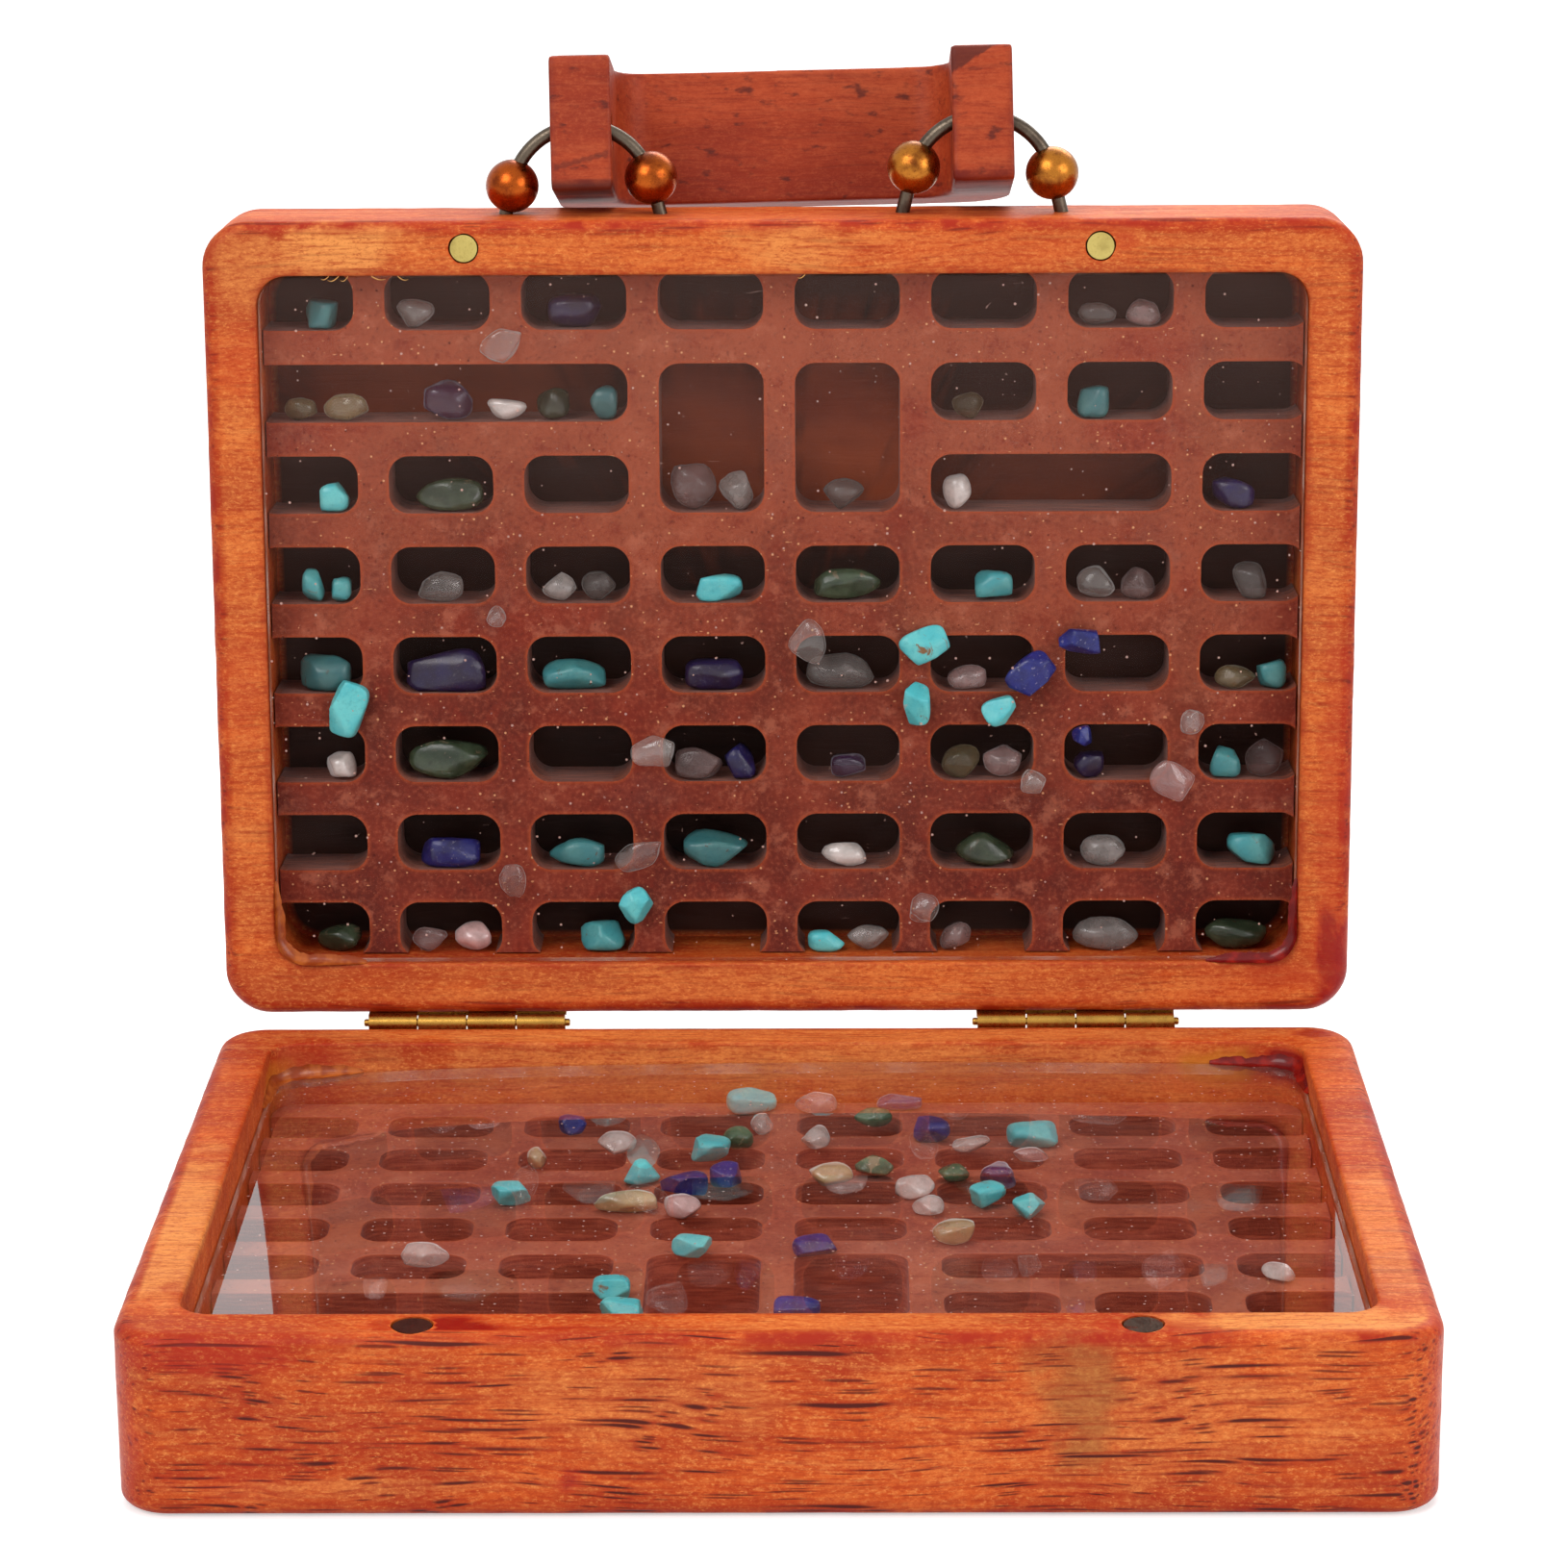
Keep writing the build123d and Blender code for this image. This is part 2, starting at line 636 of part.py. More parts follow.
# ---- assembly ----
def build():
    parts = {}

    base_magnet_places = magnet_places(-1)
    base_shell = tray(base_height, base_floor)
    for place in base_magnet_places:
        base_shell -= magnet_pocket(base_magnet_diameter, base_height, place)
    for place in nail_places():
        base_shell -= nail_hole(place, hinge_z - nail_inset)
    parts["base_shell"] = base_shell
    parts["base_board"] = Pos(0, 0, base_floor) * board(base_row_count, base_first_row_inset, -1)
    base_window_z = base_board_top + base_window_gap
    parts["base_window"] = Pos(0, 0, base_window_z) * window()
    glue_z = base_window_z + window_thickness
    parts["base_window_glue"] = [Pos(0, 0, glue_z) * dab for dab in corner_glue(1)]
    for name, place in zip(("left", "right"), base_magnet_places):
        parts[f"base_magnet_{name}"] = magnet(base_magnet_diameter, base_height, place)

    lid_magnet_places = magnet_places(1)
    lid_shell = tray(lid_height, lid_floor)
    for place in lid_magnet_places:
        lid_shell -= magnet_pocket(lid_magnet_diameter, lid_height, place)
    leg_bore = wire_solid(wire_diameter + 2 * wire_fit, hole_end_gap)
    for side in (-1, 1):
        lid_shell -= staple_place(side) * leg_bore
    lid_shell = close_lid * lid_shell
    for place in nail_places():
        lid_shell -= nail_hole(place, hinge_z + nail_inset)
    parts["lid_shell"] = swing_open * lid_shell
    lid_board = board(lid_row_count, lid_first_row_inset, 1)
    parts["lid_board"] = lid_pose * Pos(0, 0, lid_floor) * lid_board
    lid_window_z = lid_board_top + lid_window_gap
    parts["lid_window"] = lid_pose * Pos(0, 0, lid_window_z) * window()
    glue_z = lid_window_z + window_thickness
    parts["lid_window_glue"] = [lid_pose * Pos(0, 0, glue_z) * dab for dab in corner_glue(-1)]
    for name, place in zip(("left", "right"), lid_magnet_places):
        parts[f"lid_magnet_{name}"] = lid_pose * magnet(lid_magnet_diameter, lid_height, place)

    upright_leaf = leaf((0, 2))
    hanging_leaf = mirror(leaf((1, 3)), Plane.XY)
    for name, x in (("left", left_hinge_x), ("right", right_hinge_x)):
        place = Pos(x, hinge_y, hinge_z)
        parts[f"{name}_hinge_base_leaf"] = place * hanging_leaf
        parts[f"{name}_hinge_lid_leaf"] = swing_open * place * upright_leaf
        parts[f"{name}_hinge_pin"] = hinge_pin(x)
    parts["base_hinge_nails"] = [
        Pos(x, y, hinge_z - z) * nail() for x, y, z in nail_places()
    ]
    parts["lid_hinge_nails"] = [
        swing_open * Pos(x, y, hinge_z + z) * nail() for x, y, z in nail_places()
    ]

    for side, name in ((-1, "left"), (1, "right")):
        stand = lid_pose * staple_place(side)
        parts[f"{name}_handle_staple"] = stand * wire_solid(wire_diameter)
        for end, spot in ((side, f"{name}_outer"), (-side, f"{name}_inner")):
            parts[f"{spot}_bead"] = stand * bead(side, end, bead_heights[spot])
    parts["handle_grip"] = handle_pose * handle()

    for mineral in base_loose:
        parts[f"base_{mineral}_chips"] = base_specimens(mineral)
        parts[f"lid_{mineral}_chips"] = lid_specimens(mineral)
    return parts


if __name__ == "__main__":
    os.makedirs("parts", exist_ok=True)
    for node, shape in build().items():
        if isinstance(shape, list):
            shape = Compound(children=[piece.solid() for piece in shape])
        export_step(shape, f"parts/{node}.step")
    axis_point = handle_pose.position
    axis_end = (handle_pose * Pos(1, 0, 0)).position
    print("hinge line y, z", round(hinge_y, 4), round(hinge_z, 4))
    print("handle axis through", axis_point, "along", axis_end - axis_point)
    print("staple width", round(2 * leg_x_at(0), 2), "standoff", round(hole_standoff, 2))
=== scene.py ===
import random
from math import cos, hypot, pi, radians, sin, sqrt, tau

import bmesh
import bpy
from mathutils import Matrix, Vector, noise


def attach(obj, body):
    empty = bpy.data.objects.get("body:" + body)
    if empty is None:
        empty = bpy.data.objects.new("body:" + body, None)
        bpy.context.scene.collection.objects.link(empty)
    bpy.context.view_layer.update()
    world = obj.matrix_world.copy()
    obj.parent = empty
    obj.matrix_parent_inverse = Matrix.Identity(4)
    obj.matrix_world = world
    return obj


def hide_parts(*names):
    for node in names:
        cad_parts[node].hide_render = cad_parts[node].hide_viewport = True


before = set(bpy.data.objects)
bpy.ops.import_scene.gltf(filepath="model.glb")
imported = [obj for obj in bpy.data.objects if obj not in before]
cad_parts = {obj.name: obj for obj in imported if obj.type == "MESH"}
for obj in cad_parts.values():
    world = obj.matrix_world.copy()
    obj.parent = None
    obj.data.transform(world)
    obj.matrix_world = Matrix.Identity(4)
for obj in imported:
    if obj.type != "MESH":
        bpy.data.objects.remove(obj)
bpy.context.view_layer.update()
MM = 0.001

# ---- frames
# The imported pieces' sizes in the tray's own frame, in millimetres.
WIDTH, DEPTH, CORNER = 150.0, 106.0, 6.0
RIM, POCKET_CORNER = 7.0, 4.0
POCKET_X, POCKET_Y = WIDTH / 2 - RIM, DEPTH / 2 - RIM
FLOOR = {"base": 4.6, "lid": 4.0}
HEIGHT = {"base": 22.0, "lid": 18.0}
BOARD_TOP = {"base": 13.6, "lid": 13.0}
CELL_PITCH, CELL_HALF, CELL_CORNER = (17.8, 12.1), (6.85, 3.8), 2.7
CELLS_MIDDLE = -0.5
LONG_CELLS = ((1, 3, 2, 2), (4, 4, 2, 3), (5, 5, 2, 3), (6, 7, 3, 3))
SHEET_FIT, SHEET_THICKNESS = 0.15, 1.5
SHEET_UNDERSIDE = {"base": 16.9, "lid": 15.8}
MAGNET_X, MAGNET_DEPTH = 41.0, 2.75
# The wires' line stands this far in front of the lid, halfway up it, and the grip leans back on it.
LINE_AHEAD, LINE_TURN, GRIP_LEAN = 11.34, 1.2118, 102.7

# Each body's own frame: a tray's lies on its back, and the grip's has X along the wires' line.
HINGE = Vector((0, 54.1, 22.1)) * MM
OPEN = radians(92.8)
LID = (
    Matrix.Translation(HINGE)
    @ Matrix.Rotation(-OPEN, 4, "X")
    @ Matrix.Translation(-HINGE)
    @ Matrix.Translation((0, 0, 40.2 * MM))
    @ Matrix.Rotation(pi, 4, "X")
)
GRIP = (
    LID
    @ Matrix.Translation((0, (DEPTH / 2 + LINE_AHEAD) * MM, HEIGHT["lid"] / 2 * MM))
    @ Matrix.Rotation(radians(LINE_TURN), 4, "Z")
    @ Matrix.Rotation(-radians(GRIP_LEAN), 4, "X")
)
FRAMES = {"base": Matrix.Identity(4), "lid": LID, "handle": GRIP}


def srgb(r, g, b):
    """A colour as seen on screen, 0 to 255, as the linear values that shaders take."""
    out = []
    for v in (r, g, b):
        v /= 255
        out.append(v / 12.92 if v <= 0.04045 else ((v + 0.055) / 1.055) ** 2.4)
    return (*out, 1.0)


# ---- node helpers
class Tree:
    """Short calls for building a material's nodes."""

    def __init__(self, name, world=None):
        self.owner = world or bpy.data.materials.new(name)
        self.owner.use_nodes = True
        self.nt = self.owner.node_tree
        self.nt.nodes.clear()
        self.end = self.nt.nodes.new("ShaderNodeOutputWorld" if world else "ShaderNodeOutputMaterial")

    def put(self, socket, value):
        """Links a socket to another, or sets it. A colour of three numbers is one as seen on screen."""
        if isinstance(value, bpy.types.NodeSocket):
            self.nt.links.new(value, socket)
        elif socket.type == "RGBA" and len(value) == 3:
            socket.default_value = srgb(*value)
        else:
            socket.default_value = value

    def add(self, kind, values=None, **settings):
        node = self.nt.nodes.new("ShaderNode" + kind)
        for key, value in settings.items():
            setattr(node, key, value)
        for key, value in (values or {}).items():
            self.put(node.inputs[key], value)
        return node

    def out(self, kind, values=None, **settings):
        return self.add(kind, values, **settings).outputs[0]

    def math(self, op, a, b=0.0, clamp=False):
        return self.out("Math", {0: a, 1: b}, operation=op, use_clamp=clamp)

    def plus(self, a, b, clamp=False):
        return self.math("ADD", a, b, clamp)

    def minus(self, a, b, clamp=False):
        return self.math("SUBTRACT", a, b, clamp)

    def times(self, a, b, clamp=False):
        return self.math("MULTIPLY", a, b, clamp)

    def vmath(self, op, a, b=None):
        values = {0: a}
        if b is not None:
            values[1] = b
        node = self.add("VectorMath", values, operation=op)
        return node.outputs["Value"] if op in ("LENGTH", "DOT_PRODUCT") else node.outputs[0]

    def step(self, value, low, high, a=0.0, b=1.0):
        values = {"Value": value, "From Min": low, "From Max": high, "To Min": a, "To Max": b}
        return self.out("MapRange", values, interpolation_type="SMOOTHSTEP")

    def mix(self, share, a, b):
        return self.add("Mix", {0: share, 6: a, 7: b}, data_type="RGBA", clamp_factor=True).outputs[2]

    def tinge(self, tone, value, low, high, share, colour):
        """A tone that turns by up to share into a colour as value goes from low to high."""
        return self.mix(self.step(value, low, high, 0.0, share), tone, colour)

    def noise(self, vector, scale, detail=3.0, rough=0.5, distortion=0.0):
        values = {"Vector": vector, "Scale": scale, "Detail": detail, "Roughness": rough}
        return self.out("TexNoise", {**values, "Distortion": distortion})

    def grain(self, vector, along, across, detail, rough=0.5, distortion=0.0):
        """Noise of one density along X and another across it."""
        stretched = self.vmath("MULTIPLY", vector, (along, across, across))
        return self.noise(stretched, 1.0, detail, rough, distortion)

    def part(self, vector, index):
        return self.add("SeparateXYZ", {0: vector}).outputs[index]

    def local(self):
        """Coordinates of the piece itself, in millimetres."""
        coord = self.add("TexCoord").outputs["Object"]
        return self.vmath("MULTIPLY", coord, (1000, 1000, 1000))

    def attr(self, name):
        return self.add("Attribute", attribute_name=name).outputs["Fac"]

    def outside(self):
        """1 where the surface is met from outside, else 0."""
        return self.math("SUBTRACT", 1.0, self.add("NewGeometry").outputs["Backfacing"])

    def bump(self, height, strength, distance):
        return self.out("Bump", {"Height": height, "Strength": strength, "Distance": distance})

    def surface(self, tone, rough, normal, **more):
        """The main shader; more sets its other inputs, with _ for a space in their names."""
        values = {"Base Color": tone, "Roughness": rough, "Normal": normal}
        values.update((key.replace("_", " "), value) for key, value in more.items())
        return self.out("BsdfPrincipled", values)

    def seen(self):
        """1 for what is seen, straight, in gloss or through something clear, and 0 for other light."""
        path = self.add("LightPath")
        direct = self.math("MAXIMUM", path.outputs["Is Camera Ray"], path.outputs["Is Glossy Ray"])
        return self.math("MAXIMUM", direct, path.outputs["Is Transmission Ray"])

    def blend(self, share, a, b):
        return self.out("MixShader", {0: share, 1: a, 2: b})

    def finish(self, shader):
        self.nt.links.new(shader, self.end.inputs["Surface"])
        return self.owner


# ---- wood
def dashes(t, p, fx, fyz, radius, share):
    """Long thin dashes along X: one in some of the cells of a stretched pattern. Line and halo."""
    cells = t.vmath("MULTIPLY", p, (fx, fyz, fyz))
    node = t.add("TexVoronoi", {"Vector": cells, "Scale": 1.0, "Randomness": 1.0})
    pick = t.add("SeparateXYZ", {0: node.outputs["Color"]})
    here = t.math("LESS_THAN", pick.outputs[0], share)
    reach = t.times(t.plus(pick.outputs[1], 0.35), radius)
    ratio = t.math("DIVIDE", node.outputs["Distance"], reach)
    line = t.times(t.step(ratio, 1.0, 0.45), here)
    halo = t.times(t.step(ratio, 2.2, 0.4), here)
    return line, halo


def specks(t, p, spacing, radius, share):
    """Small round specks scattered over a flat face."""
    values = {"Vector": p, "Scale": 1 / spacing, "Randomness": 1.0}
    node = t.add("TexVoronoi", values, voronoi_dimensions="2D")
    pick = t.add("SeparateXYZ", {0: node.outputs["Color"]})
    here = t.math("LESS_THAN", pick.outputs[0], share)
    reach = t.times(t.plus(pick.outputs[1], 0.4), radius / spacing)
    ratio = t.math("DIVIDE", node.outputs["Distance"], reach)
    return t.times(t.step(ratio, 1.0, 0.6), here)


def wood(name, tones, pore_colour, edge_colour, gloss=0.5, spots=0.0, grainy=1.0):
    """Stained wood with its grain along X. tones are the deep, main and pale colours."""
    t = Tree(name)
    p = t.local()
    wander = t.grain(p, 0.022, 0.06, 2.0)
    shift = t.times(t.minus(wander, 0.5), 7.0)
    offset = t.out("CombineXYZ", {"Y": shift, "Z": shift})
    q = t.vmath("ADD", p, offset)

    blotch = t.grain(p, 0.028, 0.075, 4.0, 0.62)
    streak = t.grain(q, 0.030, 0.42, 6.0, 0.72)
    thread = t.grain(q, 0.20, 2.3, 3.0, 0.65)
    mottle = t.grain(p, 0.9, 1.6, 6.0, 0.85)

    base = t.mix(t.step(blotch, 0.34, 0.62), tones[0], tones[1])
    base = t.tinge(base, streak, 0.50, 0.70, 0.75, tones[0])
    base = t.tinge(base, streak, 0.48, 0.26, 0.45, tones[2])
    pale = t.plus(t.step(blotch, 0.56, 0.80, 0.0, 0.5), t.attr("pale"), clamp=True)
    base = t.mix(pale, base, tones[2])
    base = t.tinge(base, thread, 0.48, 0.68, 0.62, tones[0])
    base = t.tinge(base, mottle, 0.46, 0.72, 0.42, tones[2])
    base = t.tinge(base, mottle, 0.54, 0.28, 0.50, tones[0])
    grit = t.grain(p, 1.6, 3.2, 2.0, 0.7)
    base = t.tinge(base, grit, 0.52, 0.74, 0.62 * grainy, tones[2])
    base = t.tinge(base, grit, 0.48, 0.28, 0.52 * grainy, tones[0])
    base = t.mix(t.times(t.attr("grey"), 0.5), base, (112, 88, 46))

    edge = t.attr("edge")
    ragged = t.times(edge, t.step(t.noise(p, 0.30, 4.0, 0.65), 0.34, 0.62, 0.25, 1.1), clamp=True)
    base = t.mix(ragged, base, edge_colour)

    # pores: long dark dashes, each in a redder halo
    much = t.attr("pores")
    line, halo = dashes(t, q, 0.045, 1.45, 0.39, 0.60)
    fine, fine_halo = dashes(t, t.vmath("ADD", q, (31.0, 7.3, 3.1)), 0.13, 2.6, 0.42, 0.40)
    base = t.mix(t.times(t.times(halo, 0.6), much, clamp=True), base, edge_colour)
    base = t.mix(t.times(t.times(fine_halo, 0.35), much, clamp=True), base, edge_colour)
    pores = t.plus(line, t.times(fine, 0.72), clamp=True)
    pores = t.times(pores, much, clamp=True)
    base = t.mix(t.times(pores, 0.96), base, pore_colour)
    if spots:
        smudge = t.grain(p, 0.34, 0.7, 3.0, 0.55)
        base = t.tinge(base, smudge, 0.58, 0.74, spots, pore_colour)

    stain = t.attr("stain")
    ragged_stain = t.times(stain, t.step(mottle, 0.30, 0.55, 0.8, 1.0), clamp=True)
    stained = t.mix(t.times(ragged_stain, 0.95), base, t.mix(stain, (200, 44, 22), (142, 12, 14)))
    # the pocket floor seen through the cells: painted shade, dark in the lid's narrow cells, and painted
    # light where the pale marks lift it, under the lid's long cells and over the whole base floor
    floor_shade_and_light = t.attr("floor")
    dark = t.mix(t.step(blotch, 0.3, 0.7), (40, 21, 14), (62, 32, 21))
    light = t.mix(t.step(blotch, 0.3, 0.7), (128, 50, 20), (160, 72, 32))
    light = t.mix(t.step(t.attr("pale"), 0.96, 1.0), light, (228, 144, 112))
    base = t.mix(floor_shade_and_light, stained, t.mix(t.attr("pale"), dark, light))
    base = t.mix(t.times(t.attr("yellow"), 0.8), base, (196, 116, 28))
    # brown marks, and painted shade under the grip's left arm
    base = t.mix(t.attr("brown"), base, (78, 30, 24))

    rough = t.minus(t.step(streak, 0.3, 0.7, gloss - 0.04, gloss + 0.10), t.times(stain, 0.30))
    height = t.plus(t.times(thread, 0.45), t.times(mottle, 0.35))
    height = t.minus(height, t.times(pores, 0.8))
    normal = t.bump(height, 0.4, 0.00014)
    return t.finish(t.surface(base, rough, normal, Specular_IOR_Level=0.18))


TONES = ((168, 50, 16), (210, 90, 30), (236, 152, 80))
WOOD = wood("stained_wood", TONES, (72, 18, 12), (158, 38, 14))
HANDLE_TONES = ((136, 42, 20), (172, 68, 34), (194, 96, 56))
HANDLE_WOOD = wood("handle_wood", HANDLE_TONES, (76, 24, 20), (110, 30, 20), 0.46, 0.8, 0.3)


# ---- board
def cell_distance(t, p, centre, half):
    """Distance from a point on the board to one rounded cell, in millimetres."""
    q = t.vmath("ABSOLUTE", t.vmath("SUBTRACT", p, (*centre, 0)))
    q = t.vmath("SUBTRACT", q, (half[0] - CELL_CORNER, half[1] - CELL_CORNER, 1000))
    return t.minus(t.vmath("LENGTH", t.vmath("MAXIMUM", q, (0, 0, 0))), CELL_CORNER)


def board_material(name, first_y, side, tones, walls, paler_tone, reach):
    """Red-brown fibreboard with furry pale rims round its cells.

    first_y is the first row's middle, side the way the rows go, reach where the paler tone along Y starts and
    ends.
    """
    t = Tree(name)
    p = t.local()
    flat = t.vmath("MULTIPLY", p, (1, 1, 0))
    # the regular cells, then the ones that run over several columns or rows
    across, up = CELL_PITCH
    cell = t.vmath("SUBTRACT", flat, (CELLS_MIDDLE - 4 * across, first_y - up / 2, 0))
    cell = t.vmath("FRACTION", t.vmath("MULTIPLY", cell, (1 / across, 1 / up, 0)))
    cell = t.vmath("MULTIPLY", t.vmath("SUBTRACT", cell, (0.5, 0.5, 0)), (across, up, 0))
    distance = cell_distance(t, cell, (0, 0), CELL_HALF)
    for c0, c1, r0, r1 in LONG_CELLS:
        x = CELLS_MIDDLE + ((c0 + c1) / 2 - 4.5) * across
        y = first_y + side * ((r0 + r1) / 2 - 1) * up
        half = ((c1 - c0) * across / 2 + CELL_HALF[0], (r1 - r0) * up / 2 + CELL_HALF[1])
        distance = t.math("MINIMUM", distance, cell_distance(t, flat, (x, y), half))
    fur = t.noise(p, 3.2, 3.0, 0.7)
    cloud = t.noise(p, 0.10, 4.0, 0.6)
    grain = t.noise(p, 1.6, 5.0, 0.75)
    wobble = t.times(t.minus(fur, 0.5), 1.1)
    rim = t.step(t.plus(distance, wobble), 0.62, 0.05)
    face = t.part(t.add("TexCoord").outputs["Normal"], 2)
    face = t.step(face, 0.45, 0.75)

    tone = t.mix(t.step(cloud, 0.34, 0.66), *tones)
    patch = t.noise(t.vmath("ADD", p, (17.0, 5.0, 0.0)), 0.045, 3.0, 0.55)
    y = t.part(p, 1)
    height = t.plus(y, t.times(t.minus(patch, 0.5), 90.0))
    # paler towards one end along Y
    tone = t.tinge(tone, height, *reach, 0.62, paler_tone)
    tone = t.tinge(tone, patch, 0.46, 0.34, 0.5, (150, 48, 26))
    mottle = t.noise(p, 0.28, 5.0, 0.7)
    tone = t.tinge(tone, mottle, 0.52, 0.70, 0.50, (196, 116, 88))
    tone = t.tinge(tone, mottle, 0.48, 0.32, 0.55, (128, 38, 22))
    tone = t.tinge(tone, t.noise(p, 0.07, 3.0, 0.6), 0.56, 0.72, 0.35, (102, 54, 48))
    tone = t.tinge(tone, grain, 0.48, 0.72, 0.55, (176, 92, 62))
    tone = t.tinge(tone, grain, 0.48, 0.28, 0.60, (92, 30, 20))
    tone = t.mix(t.times(rim, t.step(fur, 0.34, 0.6, 0.20, 0.85)), tone, (182, 80, 38))
    flecks = t.noise(t.vmath("MULTIPLY", p, (1.0, 2.2, 1.0)), 1.1, 1.0)
    tone = t.tinge(tone, flecks, 0.745, 0.775, 0.8, (214, 150, 104))
    tone = t.mix(t.times(specks(t, flat, 1.7, 0.15, 0.24), 0.85), tone, (228, 172, 122))
    tone = t.mix(t.times(specks(t, flat, 2.3, 0.16, 0.22), 0.7), tone, (84, 22, 12))
    layers = t.noise(t.vmath("MULTIPLY", p, (0.25, 0.25, 3.0)), 1.0, 3.0)
    wall = t.mix(t.step(layers, 0.35, 0.7), *walls)
    tone = t.mix(face, wall, tone)
    relief = t.plus(t.times(grain, 0.6), t.times(t.times(fur, rim), 1.6))
    normal = t.bump(relief, 0.55, 0.00016)
    return t.finish(t.surface(tone, 0.78, normal, Specular_IOR_Level=0.25, Sheen_Weight=0.15))


BOARD = {
    # the base's cell walls are lightened to its face's tones: painted light against the shade in its deep
    # cells
    "base": board_material(
        "base_fibreboard", -35.65, 1, ((146, 58, 36), (178, 88, 56)),
        ((148, 60, 40), (184, 88, 60)), (202, 120, 84), (10, -45),
    ),
    "lid": board_material(
        "lid_fibreboard", 42.1, -1, ((102, 34, 22), (136, 52, 34)),
        ((104, 44, 26), (150, 76, 46)), (182, 96, 64), (-25, 42),
    ),
}


# ---- clear sheet
def sheet_material(name, haze, tint, gloss, least, dusty):
    """Clear plastic sheet: gloss on its outer faces over see-through, with haze, dust and hair scratches.

    haze gives the least and most cloud, then where along Y a painted reflection, more of the same veil,
    starts and ends, and how much.
    """
    t = Tree(name)
    p = t.local()
    cloud = t.grain(p, 0.022, 0.06, 5.0, 0.62, 0.6)
    dust = t.noise(p, 1.3, 1.0, 0.6)
    hair = t.grain(p, 0.10, 1.4, 2.0, 0.5, 1.4)
    veil = t.step(cloud, 0.42, 0.78, haze[0], haze[1])
    y = t.part(p, 1)
    # more veil towards one end along Y: painted reflection
    veil = t.plus(veil, t.step(y, haze[2], haze[3], 0.0, haze[4]))
    veil = t.plus(veil, t.step(dust, 0.775, 0.80, 0.0, 0.30))
    veil = t.plus(veil, t.times(specks(t, p, 1.5, 0.16, dusty), 0.75))
    veil = t.plus(veil, t.step(hair, 0.765, 0.775, 0.0, 0.12), clamp=True)
    outer = t.outside()
    veil = t.times(veil, outer)
    clear = t.out("BsdfTransparent", {"Color": tint})
    film = t.out("BsdfDiffuse", {"Color": (204, 164, 152)})
    body = t.blend(veil, clear, film)
    shine = t.out("BsdfGlossy", {"Color": (1, 1, 1, 1), "Roughness": 0.02})
    share = t.minus(t.out("Fresnel", {"IOR": 1.49}), least)
    share = t.times(t.times(share, outer), gloss, clamp=True)
    shader = t.blend(share, body, shine)
    return t.finish(shader)


def sheet_edge_material():
    """The polished edge of the sheet: its two ends show more painted reflection, paler than its long sides.
    """
    t = Tree("sheet_edge")
    p = t.local()
    saw = t.noise(p, 0.12, 3.0, 0.6)
    tone = t.mix(t.step(saw, 0.40, 0.65), (190, 156, 134), (236, 222, 208))
    across = t.part(t.add("TexCoord").outputs["Normal"], 0)
    end = t.step(t.math("ABSOLUTE", across), 0.6, 0.95)
    clear = t.out("BsdfTransparent", {"Color": (0.92, 0.88, 0.85, 1)})
    skin_shader = t.out("BsdfPrincipled", {"Base Color": tone, "Roughness": 0.4, "Specular IOR Level": 0.2})
    # the pale skin over the clear edge: saw-noise patches, and more of it on the ends facing along X as
    # painted reflection
    share = t.plus(t.step(saw, 0.38, 0.66, 0.06, 0.22), t.times(end, 0.42))
    shader = t.blend(share, clear, skin_shader)
    return t.finish(shader)


LID_SHEET = sheet_material(
    "lid_clear_sheet", (0.0, 0.016, -14, 48, 0.055), (0.97, 0.96, 0.96, 1), 0.8, 0.05, 0.07
)
BASE_SHEET = sheet_material(
    "base_clear_sheet", (0.0, 0.10, 30, 46, 0.05), (0.98, 0.975, 0.975, 1), 1.85, 0.0, 0.22
)
SHEET_EDGE = sheet_edge_material()


# ---- metals and glue
def metal(name, colour, dark, rough, tarnish=0.35, spots=None, right=None):
    """Worn metal; right is its colour towards +X where that differs."""
    t = Tree(name)
    p = t.local()
    if right is not None:
        colour = t.mix(t.step(t.part(p, 0), -24, 16), colour, right)
    cloud = t.noise(p, 0.35, 4.0, 0.65)
    fine = t.noise(p, 2.6, 3.0, 0.7)
    tone = t.mix(t.step(cloud, 0.40, 0.72, 0.0, tarnish), colour, dark)
    tone = t.tinge(tone, fine, 0.55, 0.75, tarnish, dark)
    if spots is not None:
        tone = t.tinge(tone, t.noise(p, 0.8, 2.0), 0.60, 0.68, 0.8, spots)
    roughness = t.step(fine, 0.3, 0.7, rough * 0.8, rough * 1.35)
    normal = t.bump(t.plus(fine, cloud), 0.12, 0.00008)
    return t.finish(t.surface(tone, roughness, normal, Metallic=1.0))


BRASS = metal("hinge_brass", (176, 132, 60), (110, 70, 30), 0.30)
NAIL_BRASS = metal("nail_brass", (184, 142, 72), (104, 68, 32), 0.32)
BEAD = metal("bead_brass", (168, 78, 26), (86, 28, 16), 0.28, 0.75, right=(178, 112, 42))
WIRE = metal("wire_steel", (98, 87, 75), (56, 42, 36), 0.34, 0.7)
BASE_MAGNET = metal("dark_magnet", (112, 98, 86), (66, 50, 44), 0.42, 0.6, (120, 52, 40))
RED_MAGNET = metal("smeared_magnet", (104, 60, 50), (70, 32, 28), 0.40, 0.6, (126, 30, 28))
LID_MAGNET = metal("pale_magnet", (192, 172, 100), (136, 114, 58), 0.34, 0.5)


